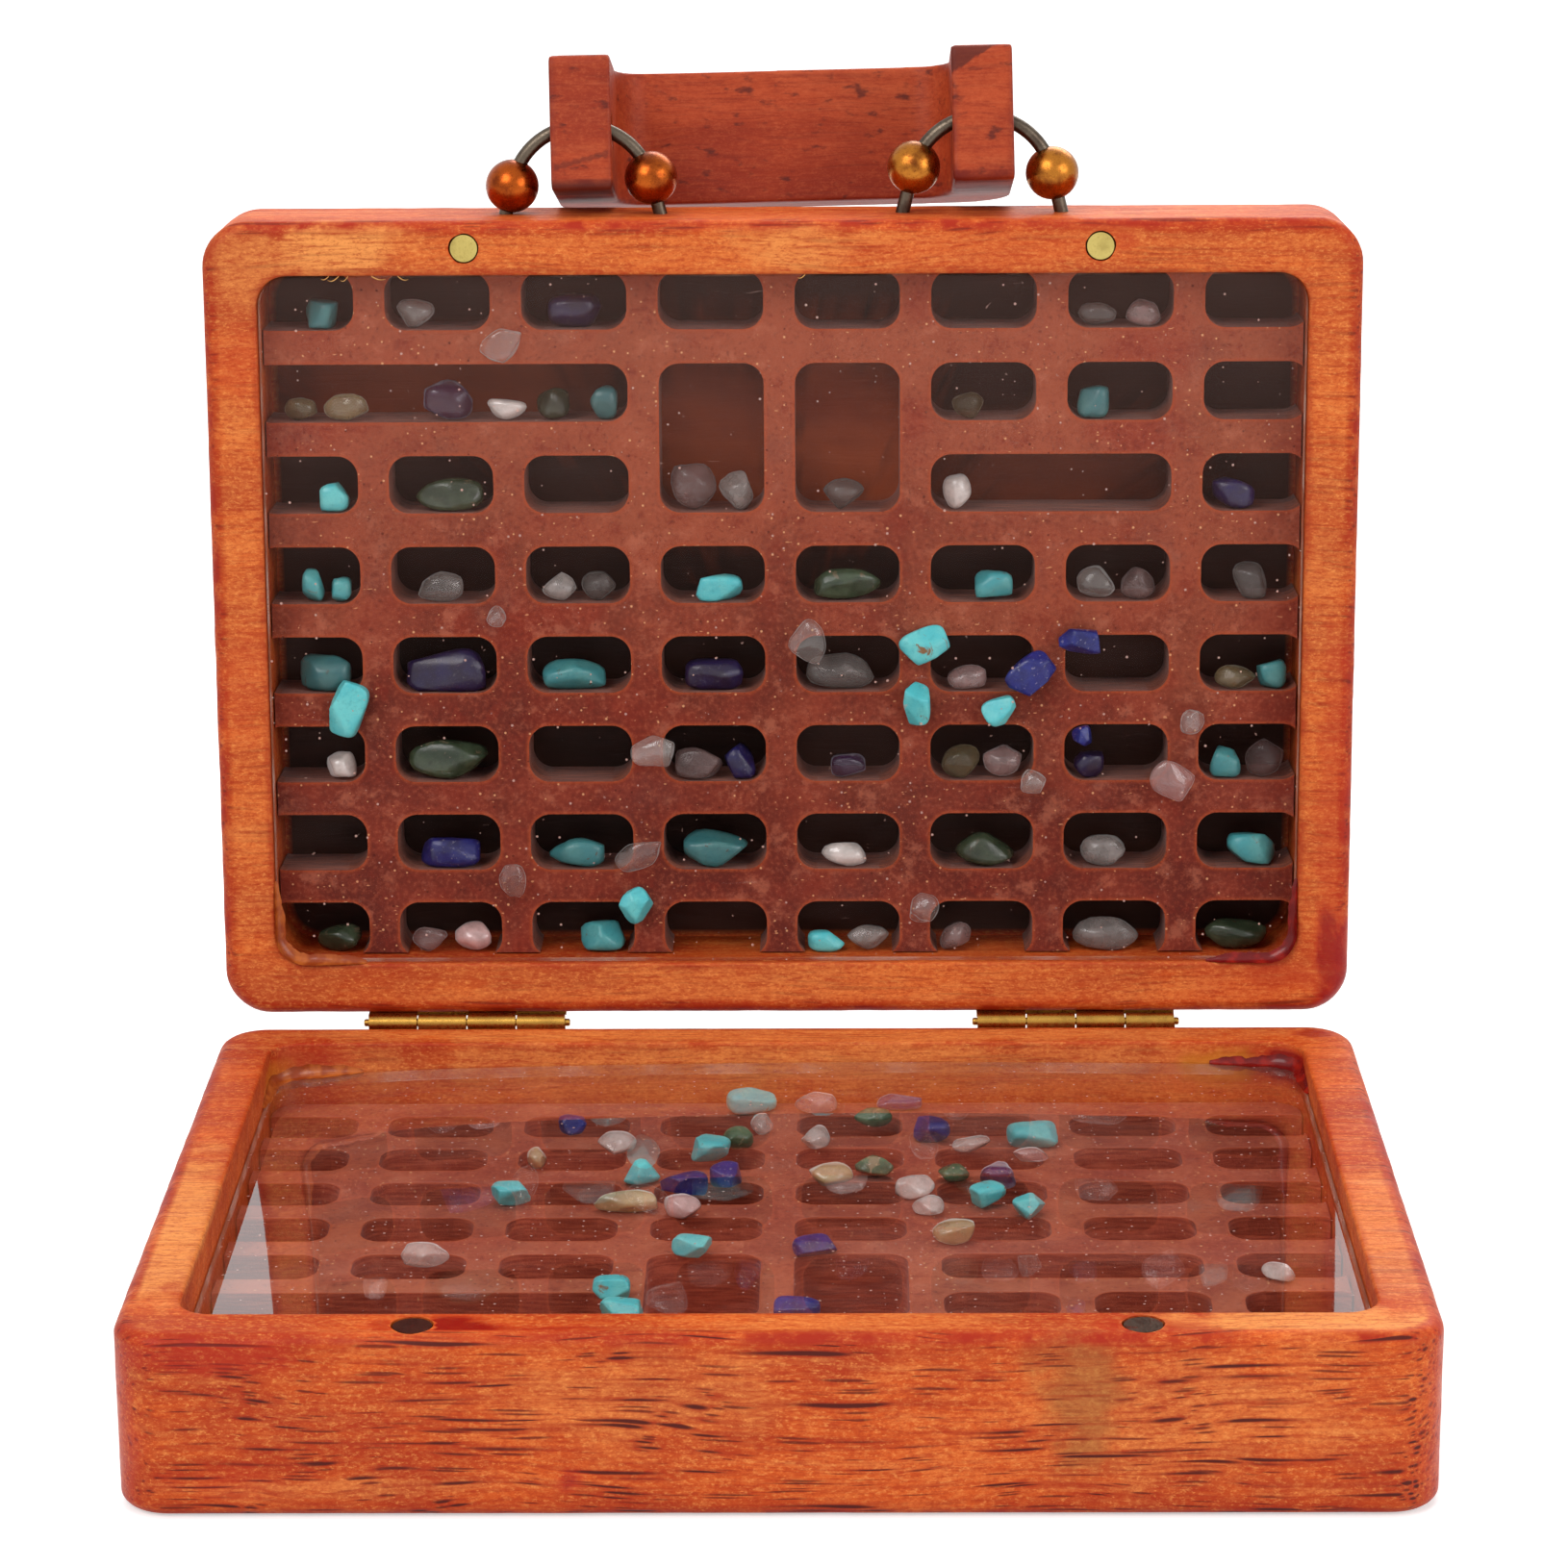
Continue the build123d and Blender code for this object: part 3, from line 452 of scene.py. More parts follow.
def glue_material():
    """Cured glue: deep red from the stain on the right, amber on the left."""
    t = Tree("stained_glue")
    p = t.local()
    cloud = t.noise(p, 0.5, 3.0)
    red = t.mix(t.step(cloud, 0.4, 0.7), (104, 8, 8), (150, 26, 14))
    amber = t.mix(t.step(cloud, 0.4, 0.7), (140, 56, 16), (178, 92, 34))
    side = t.step(t.part(p, 0), -20, 20)
    normal = t.bump(cloud, 0.25, 0.0002)
    return t.finish(t.surface(t.mix(side, amber, red), 0.24, normal, Specular_IOR_Level=0.3))


GLUE = glue_material()


# ---- stones
def stone(name, main, second, third, cover=1.0, rough=0.18, veins=None, vein_share=(0.62, 0.70), flecks=None):
    """A tumbled mineral. cover is how much of what lies behind its middle it hides."""
    t = Tree(name)
    p = t.local()
    tint = t.attr("tint")
    shifted = t.vmath("ADD", p, t.out("CombineXYZ", {"X": t.times(tint, 61.0), "Y": tint}))
    cloud = t.noise(shifted, 0.32, 4.0, 0.6)
    fine = t.noise(shifted, 1.4, 4.0, 0.7)
    tone = t.mix(t.step(cloud, 0.36, 0.66), main, second)
    tone = t.tinge(tone, fine, 0.5, 0.74, 0.4, third)
    if veins is not None:
        vein = t.noise(shifted, 0.42, 5.0, 0.68, 0.8)
        tone = t.mix(t.step(vein, *vein_share), tone, veins)
    if flecks is not None:
        tone = t.tinge(tone, t.noise(shifted, 2.4, 1.0), 0.66, 0.72, 0.7, flecks)
    # chips deep in the cells are darkened towards a dark brown and lose their glint and bright outline:
    # painted shade
    dim = t.attr("dim")
    tone = t.mix(dim, tone, t.mix(0.18, (38, 22, 16), tone))
    normal = t.bump(t.plus(fine, t.times(cloud, 1.5)), 0.25, 0.00015)
    shader = t.surface(tone, rough, normal, Specular_IOR_Level=0.45)
    if cover == 1:
        return t.finish(shader)
    rim = t.step(t.add("LayerWeight", {"Blend": 0.5}).outputs["Facing"], 0.50, 0.80, 0.0, 0.85)
    milky = t.times(t.step(cloud, 0.35, 0.70, 0.6 * cover, 1.25 * cover), t.attr("milk"), clamp=True)
    behind = t.out("BsdfTransparent", {"Color": t.mix(0.3, (1, 1, 1, 1), tone)})
    mixed = t.blend(milky, behind, shader)
    # painted light: the outline is whitened and lit as if it faced straight out of the tray
    straight = t.out(
        "VectorTransform", {0: (0, 0, 1)}, vector_type="NORMAL", convert_from="OBJECT", convert_to="WORLD"
    )
    bright = t.mix(t.times(t.minus(1.0, dim), 0.6), tone, (1, 1, 1, 1))
    outline = t.out("BsdfDiffuse", {"Color": bright, "Normal": straight})
    mixed = t.blend(rim, mixed, outline)
    glint = t.out("BsdfGlossy", {"Color": (1, 1, 1, 1), "Roughness": 0.08, "Normal": normal})
    outer = t.outside()
    mirror = t.times(t.out("Fresnel", {"IOR": 1.55}), outer)
    mirror = t.times(mirror, t.minus(1.0, dim))
    glassy = t.blend(mirror, mixed, glint)
    return t.finish(glassy)


TURQUOISE_VEINS = {"rough": 0.3, "veins": (132, 92, 52)}
AGATE_VEINS = {"rough": 0.2, "veins": (150, 140, 110), "vein_share": (0.60, 0.66)}
STONES = {
    name: stone(name, *tones, **rest)
    for name, tones, rest in (
        ("turquoise", ((84, 200, 208), (112, 214, 214), (52, 150, 156)), TURQUOISE_VEINS),
        ("lapis", ((32, 44, 132), (22, 28, 94), (62, 74, 148)), {"rough": 0.28, "flecks": (140, 138, 160)}),
        ("clear_quartz", ((244, 236, 230), (232, 220, 214), (250, 248, 246)), {"cover": 0.8, "rough": 0.10}),
        ("rose_quartz", ((240, 204, 200), (232, 190, 186), (248, 224, 220)), {"cover": 0.9, "rough": 0.14}),
        ("citrine", ((226, 206, 160), (216, 190, 140), (240, 226, 196)), {"cover": 0.95, "rough": 0.14}),
        ("green_agate", ((52, 92, 66), (96, 128, 96), (34, 50, 44)), AGATE_VEINS),
        ("amethyst", ((120, 82, 138), (96, 60, 118), (160, 128, 168)), {"cover": 0.95, "rough": 0.12}),
    )
}


# ---- mesh helpers
def link(name, data):
    obj = bpy.data.objects.new(name, data)
    bpy.context.scene.collection.objects.link(obj)
    return obj


def new_object(name, mesh, body, materials):
    obj = link(name, mesh)
    obj.matrix_world = FRAMES[body]
    for material in materials:
        mesh.materials.append(material)
    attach(obj, body)
    return obj


def set_attributes(mesh, layers):
    for name, values in layers.items():
        attribute = mesh.attributes.new(name, "FLOAT", "POINT")
        attribute.data.foreach_set("value", values)


def packed(node, body):
    """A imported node's mesh with its points joined, in a body's own frame."""
    bm = bmesh.new()
    bm.from_mesh(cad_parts[node].data)
    bm.transform(FRAMES[body].inverted())
    bmesh.ops.remove_doubles(bm, verts=bm.verts, dist=2e-6)
    return bm


def closed(bm, name):
    """The finished mesh."""
    mesh = bpy.data.meshes.new(name)
    bm.to_mesh(mesh)
    bm.free()
    return mesh


def applied(obj):
    """The object's mesh with its modifiers."""
    graph = bpy.context.evaluated_depsgraph_get()
    return bpy.data.meshes.new_from_object(obj.evaluated_get(graph))


def fbm(x, y, z, scale):
    """Soft noise from 0 to 1."""
    return 0.5 + 0.5 * noise.fractal(Vector((x * scale, y * scale, z * scale)), 0.6, 2.1, 4)


# How many points run along a ring's long sides, its short sides and each corner.
SIDE_X, SIDE_Y, ARC = 150, 106, 12


def ring(half_x, half_y, radius, z):
    """A rounded rectangle as a fixed number of points, anticlockwise from the front right."""
    radius = max(radius, 0.05)
    points = []
    corners = (
        (half_x - radius, -half_y + radius, -90),
        (half_x - radius, half_y - radius, 0),
        (-half_x + radius, half_y - radius, 90),
        (-half_x + radius, -half_y + radius, 180),
    )
    for index, (cx, cy, start) in enumerate(corners):
        for k in range(ARC + 1):
            a = radians(start + 90 * k / ARC)
            points.append((cx + radius * cos(a), cy + radius * sin(a), z))
        end = points[-1]
        nx, ny, angle = corners[(index + 1) % 4]
        a = radians(angle)
        goal = (nx + radius * cos(a), ny + radius * sin(a))
        count = SIDE_Y if index in (0, 2) else SIDE_X
        for k in range(1, count):
            s = k / count
            points.append((end[0] + (goal[0] - end[0]) * s, end[1] + (goal[1] - end[1]) * s, z))
    return points


def skin(rings):
    """Vertices and faces of rings joined in order, with fans at the two ends."""
    count = len(rings[0])
    verts = [p for r in rings for p in r]
    faces = []
    for j in range(len(rings) - 1):
        a, b = j * count, (j + 1) * count
        for i in range(count):
            n = (i + 1) % count
            faces.append((a + i, a + n, b + n, b + i))
    for start, flip in ((0, True), ((len(rings) - 1) * count, False)):
        z = verts[start][2]
        centre = len(verts)
        verts.append((0.0, 0.0, z))
        for i in range(count):
            n = (i + 1) % count
            tri = (start + i, start + n, centre)
            faces.append(tri[::-1] if flip else tri)
    return verts, faces


def mesh_from(name, verts, faces):
    mesh = bpy.data.meshes.new(name)
    mesh.from_pydata([(x * MM, y * MM, z * MM) for x, y, z in verts], [], faces)
    mesh.validate()
    mesh.polygons.foreach_set("use_smooth", [True] * len(mesh.polygons))
    return mesh


# ---- trays
# Blots of stain and patches of other tones, with pale patches on the pocket floors that are painted light:
# surface, middle and reach in the tray's own frame, strength.
MARKS = {
    "base": {
        "stain": (
            ("rim", (-36.5, -50.3, 22), (5.5, 3.4, 2), 1.0), ("rim", (-31, -51, 22), (11, 1.5, 2), 0.75),
            ("rim", (-44.2, -49.6, 22), (2.6, 2.2, 2), 0.6), ("rim", (44.8, -50.6, 22), (4.8, 2.0, 2), 0.6),
            ("rim", (37.8, -50, 22), (2.2, 2.2, 2), 0.5), ("wall", (-23.5, -53, 4.7), (1.5, 2, 1.5), 0.75),
            ("wall", (-66, -53, 19.5), (14, 4, 2.6), 0.42), ("wall", (74, -48, 9), (3, 5, 15), 0.42),
            ("wall", (-74, -50, 8), (3, 4, 14), 0.4), ("wall", (-60, -53, 4), (10, 3, 3), 0.22),
            ("wall", (75, 14, 14), (3, 16, 9), 0.36), ("wall", (-75, 22, 10), (3, 18, 8), 0.3),
            ("pocket", (67, 46, 20), (7.6, 6, 6), 1.0), ("rim", (70.5, 49.2, 22), (3.4, 2.0, 2), 0.8),
            ("pocket", (-64, 46, 20), (7, 3, 2.6), 0.62), ("pocket", (-38, 46, 18), (4, 3, 1.6), 0.35),
            ("pocket", (0.6, 46, 21.4), (1.0, 2, 0.9), 0.55),
        ),
        "pale": (
            ("rim", (60, -49.5, 22), (19, 7, 3), 0.85), ("rim", (-71.5, -20, 22), (7, 30, 3), 0.8),
            ("rim", (71.5, -22, 22), (7, 30, 3), 0.4), ("rim", (10, -50, 22), (26, 6, 3), 0.3),
            ("wall", (46, -53, 12), (24, 6, 9), 0.3), ("wall", (-16, -53, 14), (22, 6, 7), 0.3),
            ("rim", (0, 49.5, 22), (90, 5, 3), 0.4), ("pocket", (0, 46, 19), (90, 3, 6), 0.45),
            # the whole base floor pale: painted light in its deep cells
            ("floor", (0, 0, 4.6), (400, 400, 5), 1.5),
        ),
        "yellow": (
            ("pocket", (57, 46, 18.6), (6.5, 2.5, 3.0), 0.9), ("pocket", (-67, 42, 18), (3, 6, 2.6), 0.7),
        ),
        "grey": (
            ("wall", (34, -53, 14), (5.5, 4, 10), 0.85), ("wall", (31, -53, 19.5), (8, 4, 3), 0.6),
        ),
    },
    "lid": {
        "stain": (
            ("all", (-70.5, 35, 18), (4, 6, 3), 0.34), ("all", (-71, -8, 18), (3.5, 9, 3), 0.2),
            ("all", (72.6, -45, 16), (3.4, 9, 7), 0.95), ("pocket", (67, -44, 17), (3.5, 4, 3), 0.9),
            ("rim", (67, -48.2, 18), (7, 2.2, 2), 0.5), ("all", (72.5, -20, 18), (2.4, 24, 3), 0.35),
            ("rim", (24, 49.5, 18), (22, 3, 2), 0.16), ("rim", (43, 50.5, 18), (3, 2.5, 2), 0.4),
            ("rim", (60, -50, 18), (9, 4, 2), 0.22), ("pocket", (-68, 10, 17), (2, 40, 2.5), 0.45),
        ),
        "pale": (
            ("all", (-58, 50, 18), (11, 5, 4), 1.0), ("all", (-69, 47, 18), (7, 8, 4), 0.5),
            ("all", (2, 50, 18), (10, 4, 3), 0.55), ("all", (-71, 27, 18), (4, 5, 3), 0.35),
            ("rim", (0, 20, 18), (200, 200, 5), 0.2), ("all", (71, 8, 18), (4, 7, 3), 0.35),
            ("wall", (0, 53, 9), (80, 4, 12), 0.1), ("rim", (-10, -50, 18), (60, 5, 3), 0.3),
            # paler floor under the lid's long cells: painted light
            ("floor", (-45.5, 30, 4), (34, 9, 3), 0.7), ("floor", (-9.4, 24, 4), (14, 18, 3), 0.75),
            ("floor", (8.4, 24, 4), (14, 18, 3), 0.95), ("floor", (35, 17.9, 4), (24, 9, 3), 0.5),
        ),
    },
}
# The magnet pockets: their middles' y and their radius.
MAGNETS = {"base": (-49.5, 2.42), "lid": (49.5, 1.95)}
DRILL_POINTS = 64


def drill(obj, which):
    """Sinks the two round magnet pockets into the rim, a touch out of round."""
    y, radius = MAGNETS[which]
    top = HEIGHT[which]
    for side in (-MAGNET_X, MAGNET_X):
        bm = bmesh.new()
        loops = []
        for z in (top - MAGNET_DEPTH, top + 1.0):
            loop = []
            for k in range(DRILL_POINTS):
                a = tau * k / DRILL_POINTS
                c, s = cos(a), sin(a)
                r = radius * (1.0 + 0.05 * noise.noise(Vector((c * 1.6, s * 1.6, side))))
                loop.append(bm.verts.new(((side + r * c) * MM, (y + r * s) * MM, z * MM)))
            loops.append(loop)
        for k in range(DRILL_POINTS):
            n = (k + 1) % DRILL_POINTS
            bm.faces.new((loops[0][k], loops[0][n], loops[1][n], loops[1][k]))
        bm.faces.new(loops[0][::-1])
        bm.faces.new(loops[1])
        cutter = link("drill", closed(bm, "drill"))
        cutter.matrix_world = obj.matrix_world
        modifier = obj.modifiers.new("magnet", "BOOLEAN")
        modifier.object = cutter
        modifier.operation = "DIFFERENCE"
        modifier.solver = "EXACT"
        cut = applied(obj)
        obj.modifiers.clear()
        obj.data = cut
        bpy.data.objects.remove(cutter)
    obj.data.set_sharp_from_angle(angle=radians(48))


def tray(which, seed):
    """The routed block, ring by ring from under the floor, over the rim and into the pocket."""
    height, floor = HEIGHT[which], FLOOR[which]
    hx, hy = WIDTH / 2, DEPTH / 2
    arris, inner = 1.5, 0.4
    rings, info = [], []

    def put(inset, z, radius, edge, kind):
        rings.append(ring(hx - inset, hy - inset, radius, z))
        info.append((edge, kind))

    # how red the stain is at each step round the arris
    line = (0.30, 0.55, 0.9, 1.0, 0.9, 0.6, 0.40)
    for inset in (30, 14, 8, 5, 3, 2):
        put(inset, 0, max(CORNER - inset, 0.3), 0.25 if inset < 5 else 0.0, "under")
    for k, red in enumerate(line):
        a = radians(15 * k)
        inset = arris * (1 - sin(a))
        put(inset, arris * (1 - cos(a)), CORNER - inset, red * 0.8, "wall")
    steps = int((height - 2 * arris) / 0.7)
    for k in range(1, steps):
        z = arris + (height - 2 * arris) * k / steps
        away = min(z - arris, height - arris - z)
        put(0, z, CORNER, max(0.0, 0.42 - away / 3.2), "wall")
    for k, red in enumerate(line):
        a = radians(15 * k)
        inset = arris * (1 - cos(a))
        put(inset, height - arris + arris * sin(a), CORNER - inset, red, "wall")
    rim_steps = 8
    for k in range(1, rim_steps):
        s = k / rim_steps
        inset = arris + (RIM - inner - arris) * s
        away = min(inset - arris, RIM - inner - inset)
        put(inset, height, CORNER - arris - 0.1 * s, max(0.0, 0.28 - away / 2.0), "rim")
    for k in range(5):
        a = radians(22.5 * k)
        left = inner * (1 - sin(a))
        put(RIM - left, height - inner * (1 - cos(a)), POCKET_CORNER + left, 0.45, "rim")
    wall_steps = int((height - inner - floor) / 0.9)
    for k in range(1, wall_steps + 1):
        z = height - inner - (height - inner - floor) * k / wall_steps
        put(RIM, z, POCKET_CORNER, 0.2 if k < 3 else 0.0, "pocket")
    for inset in range(8, 52, 3):
        put(inset, floor, max(POCKET_CORNER - (inset - RIM) * 0.2, 0.3), 0.0, "floor")
    verts, faces = skin(rings)

    count = len(rings[0])
    kinds = [info[min(i // count, len(info) - 1)] for i in range(len(verts))]
    # the last two points close the underside and the floor
    kinds[-2] = info[0]
    layers = {name: [] for name in ("edge", "floor", "pores", *MARKS[which])}
    moved = []
    for (x, y, z), (e, kind) in zip(verts, kinds):
        n1 = fbm(x + seed, y, z, 0.06)
        n2 = fbm(x, y + seed, z, 0.21)
        # the arris wanders a little, always inwards
        if kind in ("wall", "under"):
            push = max(0.0, 0.10 * n2 + (0.10 * n1 if e > 0.6 else 0.0)) + 0.005
            length = hypot(x, y) + 1e-6
            x, y = x - push * x / length, y - push * y / length
            if e > 0.6 and z > height / 2:
                z -= 0.08 * n2
        moved.append((x, y, z))
        layers["edge"].append(min(1.0, e * (0.2 + 1.3 * n1)))
        layers["floor"].append(1.0 if kind == "floor" else 0.0)
        if which == "base":
            share = (1.0 if y < -hy + 1.0 else 0.6) if kind == "wall" else 0.22
        else:
            share = 0.5 if kind == "wall" else 0.20
        layers["pores"].append(share)
        for target, marks in MARKS[which].items():
            value = 0.0
            for surface, middle, reach, strength in marks:
                if surface not in ("all", kind):
                    continue
                d = sum(((v - m) / r) ** 2 for v, m, r in zip((x, y, z), middle, reach))
                if d < 2.2:
                    d = sqrt(d) + (n2 - 0.5) * 0.8
                    value = max(value, strength * max(0.0, min(1.0, (1.0 - d) / 0.5)))
            layers[target].append(value)
    mesh = mesh_from(which + "_tray", moved, faces)
    set_attributes(mesh, layers)
    obj = new_object(which + "_tray", mesh, which, [WOOD])
    drill(obj, which)
    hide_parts(which + "_shell")


tray("base", 3.0)
tray("lid", 41.0)


# ---- boards
def board(which):
    """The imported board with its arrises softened, in the tray's own frame."""
    bm = packed(which + "_board", which)
    bmesh.ops.dissolve_limit(bm, angle_limit=0.01, verts=bm.verts, edges=bm.edges)
    obj = new_object(which + "_cells", closed(bm, which + "_cells"), which, [BOARD[which]])
    bevel = obj.modifiers.new("soft", "BEVEL")
    bevel.width = 0.28 * MM
    bevel.segments = 2
    bevel.limit_method = "ANGLE"
    bevel.angle_limit = radians(50)
    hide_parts(which + "_board")


board("base")
board("lid")


# ---- windows
def lift(which, x, y):
    """How far a sheet stands above its flat place: the base's one is bowed, and low at the left."""
    if which == "lid":
        return 0.0
    s = x / POCKET_X
    front = 0.25 + 0.55 * s - 0.35 * s * s
    back = 0.9 + 0.45 * s - s * s
    share = max(0.0, min(1.0, (y + POCKET_Y) / (2 * POCKET_Y)))
    share = share * share * (3 - 2 * share)
    curl = 0.8 * (max(0.0, -x - 42) / 26) ** 2
    return front + (back - front) * share - curl


def sheet(which):
    """A clear sheet with slightly rounded arrises."""
    z0, thick = SHEET_UNDERSIDE[which], SHEET_THICKNESS
    rings = []

    def put(scale, inset, z):
        less = SHEET_FIT + inset
        outline = ring(POCKET_X - less, POCKET_Y - less, POCKET_CORNER - less, 0)
        points = [(x * scale, y * scale) for x, y, _ in outline]
        rings.append([(x, y, z0 + z + lift(which, x, y)) for x, y in points])

    scales = (0.06, 0.14, 0.24, 0.36, 0.48, 0.6, 0.7, 0.8, 0.88, 0.95)
    for s in scales:
        put(s, 0, 0)
    for inset, z in ((0.12, 0), (0, 0.12), (0, thick - 0.12), (0.12, thick)):
        put(1.0, inset, z)
    for s in reversed(scales):
        put(s, 0, thick)
    verts, faces = skin(rings)
    verts[-2] = (0, 0, z0 + lift(which, 0, 0))
    verts[-1] = (0, 0, z0 + thick + lift(which, 0, 0))
    mesh = mesh_from(which + "_sheet", verts, faces)
    material = BASE_SHEET if which == "base" else LID_SHEET
    obj = new_object(which + "_sheet", mesh, which, [material, SHEET_EDGE])
    count = len(rings[0])
    edge_rows = range(len(scales), len(scales) + 3)
    for poly in mesh.polygons:
        if len(poly.vertices) == 4 and min(poly.vertices) // count in edge_rows:
            poly.material_index = 1
    mesh.set_sharp_from_angle(angle=radians(40))
    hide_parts(which + "_window")


sheet("base")
sheet("lid")


def glue_dabs(which, side_y):
    """Beads of glue run round the pocket's two corners, down onto the sheet."""
    verts, faces = [], []
    bend_x, bend_y = POCKET_X - POCKET_CORNER, POCKET_Y - POCKET_CORNER
    run = 8
    rows = 7
    top = SHEET_UNDERSIDE[which] + SHEET_THICKNESS
    for side in (-1, 1):
        path = []
        for k in range(15):
            path.append((side * (bend_x - run + run * k / 15), side_y * POCKET_Y))
        for k in range(11):
            a = radians(90 * k / 10)
            x = bend_x + POCKET_CORNER * sin(a)
            path.append((side * x, side_y * (bend_y + POCKET_CORNER * cos(a))))
        for k in range(1, 12):
            path.append((side * POCKET_X, side_y * (bend_y - run * k / 12)))
        first = len(verts)
        for i, (x, y) in enumerate(path):
            inward = Vector((side * bend_x - x, side_y * bend_y - y))
            if abs(x) <= bend_x:
                inward = Vector((0, -side_y))
            elif abs(y) <= bend_y:
                inward = Vector((-side, 0))
            inward.normalize()
            taper = sin(pi * (i + 0.6) / len(path)) ** 0.45
            wide = (0.9 + 0.9 * fbm(x, y, side, 0.35)) * taper
            tall = (0.9 + 0.9 * fbm(y, x, side + 5, 0.30)) * taper
            z0 = top + lift(which, x, y) + 0.02
            for j in range(rows):
                a = radians(90 * j / (rows - 1))
                u = 1 - sin(a) * 0.98
                v = 1 - cos(a)
                verts.append((x + inward.x * wide * u, y + inward.y * wide * u, z0 + tall * v))
            verts.append((x, y, z0))
        step = rows + 1
        for i in range(len(path) - 1):
            for j in range(step):
                n = (j + 1) % step
                a, b = first + i * step, first + (i + 1) * step
                quad = (a + j, a + n, b + n, b + j)
                faces.append(quad if side * side_y > 0 else quad[::-1])
        for i, flip in ((0, side * side_y > 0), (len(path) - 1, side * side_y < 0)):
            cap = [first + i * step + j for j in range(step)]
            faces.append(cap[::-1] if flip else cap)
    mesh = mesh_from(which + "_glue", verts, faces)
    mesh.set_sharp_from_angle(angle=radians(60))
    obj = new_object(which + "_glue", mesh, which, [GLUE])
    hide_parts(which + "_window_glue")


glue_dabs("base", 1)
glue_dabs("lid", -1)


def splinters():
    """A few torn fibres left along the lid pocket's edge."""
    rng = random.Random(8)
    verts, faces = [], []
    links, sides, thick = 6, 6, 0.10
    for x0 in (-58.5, -57.2, -53.0, -49.6, 3.0, -56.0):
        length = rng.uniform(0.9, 1.9)
        turn = rng.uniform(-0.5, 0.5) + (pi if rng.random() < 0.4 else 0)
        first = len(verts)
        for k in range(links + 1):
            s = k / links
            r = thick * (1 - 0.75 * s)
            cx = x0 + cos(turn) * length * s
            cy = POCKET_Y - 0.05 - 0.55 * sin(s * 2.2) * (1 + 0.4 * sin(turn))
            cz = HEIGHT["lid"] - 0.45 + 0.15 * sin(3 * s)
            for q in range(sides):
                a = tau * q / sides
                verts.append((cx, cy + r * cos(a), cz + r * sin(a)))
        for k in range(links):
            for q in range(sides):
                n = (q + 1) % sides
                a, b = first + k * sides, first + (k + 1) * sides
                faces.append((a + q, a + n, b + n, b + q))
        faces.append([first + q for q in range(sides)][::-1])
        faces.append([first + links * sides + q for q in range(sides)])
    mesh = mesh_from("lid_splinters", verts, faces)
    t = Tree("splinter_fibre")
    tone = t.mix(t.noise(t.local(), 2.0), (236, 190, 110), (200, 130, 60))
    fibre = t.finish(t.out("BsdfPrincipled", {"Base Color": tone, "Roughness": 0.7}))
    obj = new_object("lid_splinters", mesh, "lid", [fibre])


splinters()


# ---- specimens
def islands(node, body):
    """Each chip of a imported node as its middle, size and turn, in the tray's own frame."""
    bm = packed(node, body)
    seen, found = set(), []
    for start in bm.verts:
        if start.index in seen:
            continue
        stack, group = [start], []
        seen.add(start.index)
        while stack:
            v = stack.pop()
            group.append(v.co / MM)
            for e in v.link_edges:
                w = e.other_vert(v)
                if w.index not in seen:
                    seen.add(w.index)
                    stack.append(w)
        best = None
        for degree in range(-45, 46):
            a = radians(degree)
            c, s = cos(a), sin(a)
            xs = [p.x * c + p.y * s for p in group]
            ys = [p.y * c - p.x * s for p in group]
            area = (max(xs) - min(xs)) * (max(ys) - min(ys))
            if best is None or area < best[0] - 1e-6:
                best = (area, a, min(xs), max(xs), min(ys), max(ys))
        _, a, x0, x1, y0, y1 = best
        zs = [p.z for p in group]
        mx, my = (x0 + x1) / 2, (y0 + y1) / 2
        c, s = cos(a), sin(a)
        middle = (mx * c - my * s, mx * s + my * c, (min(zs) + max(zs)) / 2)
        found.append((middle, (x1 - x0, y1 - y0, max(zs) - min(zs)), a))
    bm.free()
    found.sort(key=lambda f: (round(f[0][0], 2), round(f[0][1], 2)))
    return found


def pebble(bm, layers, place, size, turn, rng, values, blocky, fine):
    """One chip that fills its box: a lump worn round, or a blocky one with flat broken faces."""
    made = bmesh.ops.create_icosphere(bm, subdivisions=4 if fine else 3, radius=1.0)["verts"]
    cuts = []
    for _ in range(7):
        n = Vector((rng.gauss(0, 1), rng.gauss(0, 1), rng.gauss(0, 0.7))).normalized()
        cuts.append((n, rng.uniform(0.70, 1.02) if blocky else rng.uniform(0.62, 0.92)))
    worn, bite = (0.04, 0.94) if blocky else (0.1, 0.72)
    offset = Vector((rng.uniform(-50, 50), rng.uniform(-50, 50), rng.uniform(-50, 50)))
    points = []
    for v in made:
        p = v.co.copy()
        if blocky:
            p /= sum(abs(c) ** 4 for c in p) ** 0.25
        for n, d in cuts:
            over = p.dot(n) - d
            if over > -worn:
                p -= n * (over + worn) * bite
        p *= 1.0 + worn * noise.noise(p * 1.3 + offset)
        points.append(p)
    low = [min(p[i] for p in points) for i in range(3)]
    high = [max(p[i] for p in points) for i in range(3)]
    c, s = cos(turn), sin(turn)
    for v, p in zip(made, points):
        q = [((p[i] - low[i]) / (high[i] - low[i]) - 0.5) * size[i] for i in range(3)]
        v.co = Vector((q[0] * c - q[1] * s + place[0], q[0] * s + q[1] * c + place[1], q[2] + place[2])) * MM
        for layer, value in zip(layers, values):
            v[layer] = value


# Chips that lie forward in the lid's cells, where the light reaches them, so they get almost no painted
# shade: x and y in the lid's frame.
FORWARD_CHIPS = (
    (-58, 17.9), (-7, 5.8), (-35, 30), (21.7, 17.9), (7.8, -30.5), (-57, -18.4), (-43, -42.6), (5.6, -42.6),
)
# Minerals that break into blocks.
BLOCKY = ("turquoise", "lapis", "amethyst")


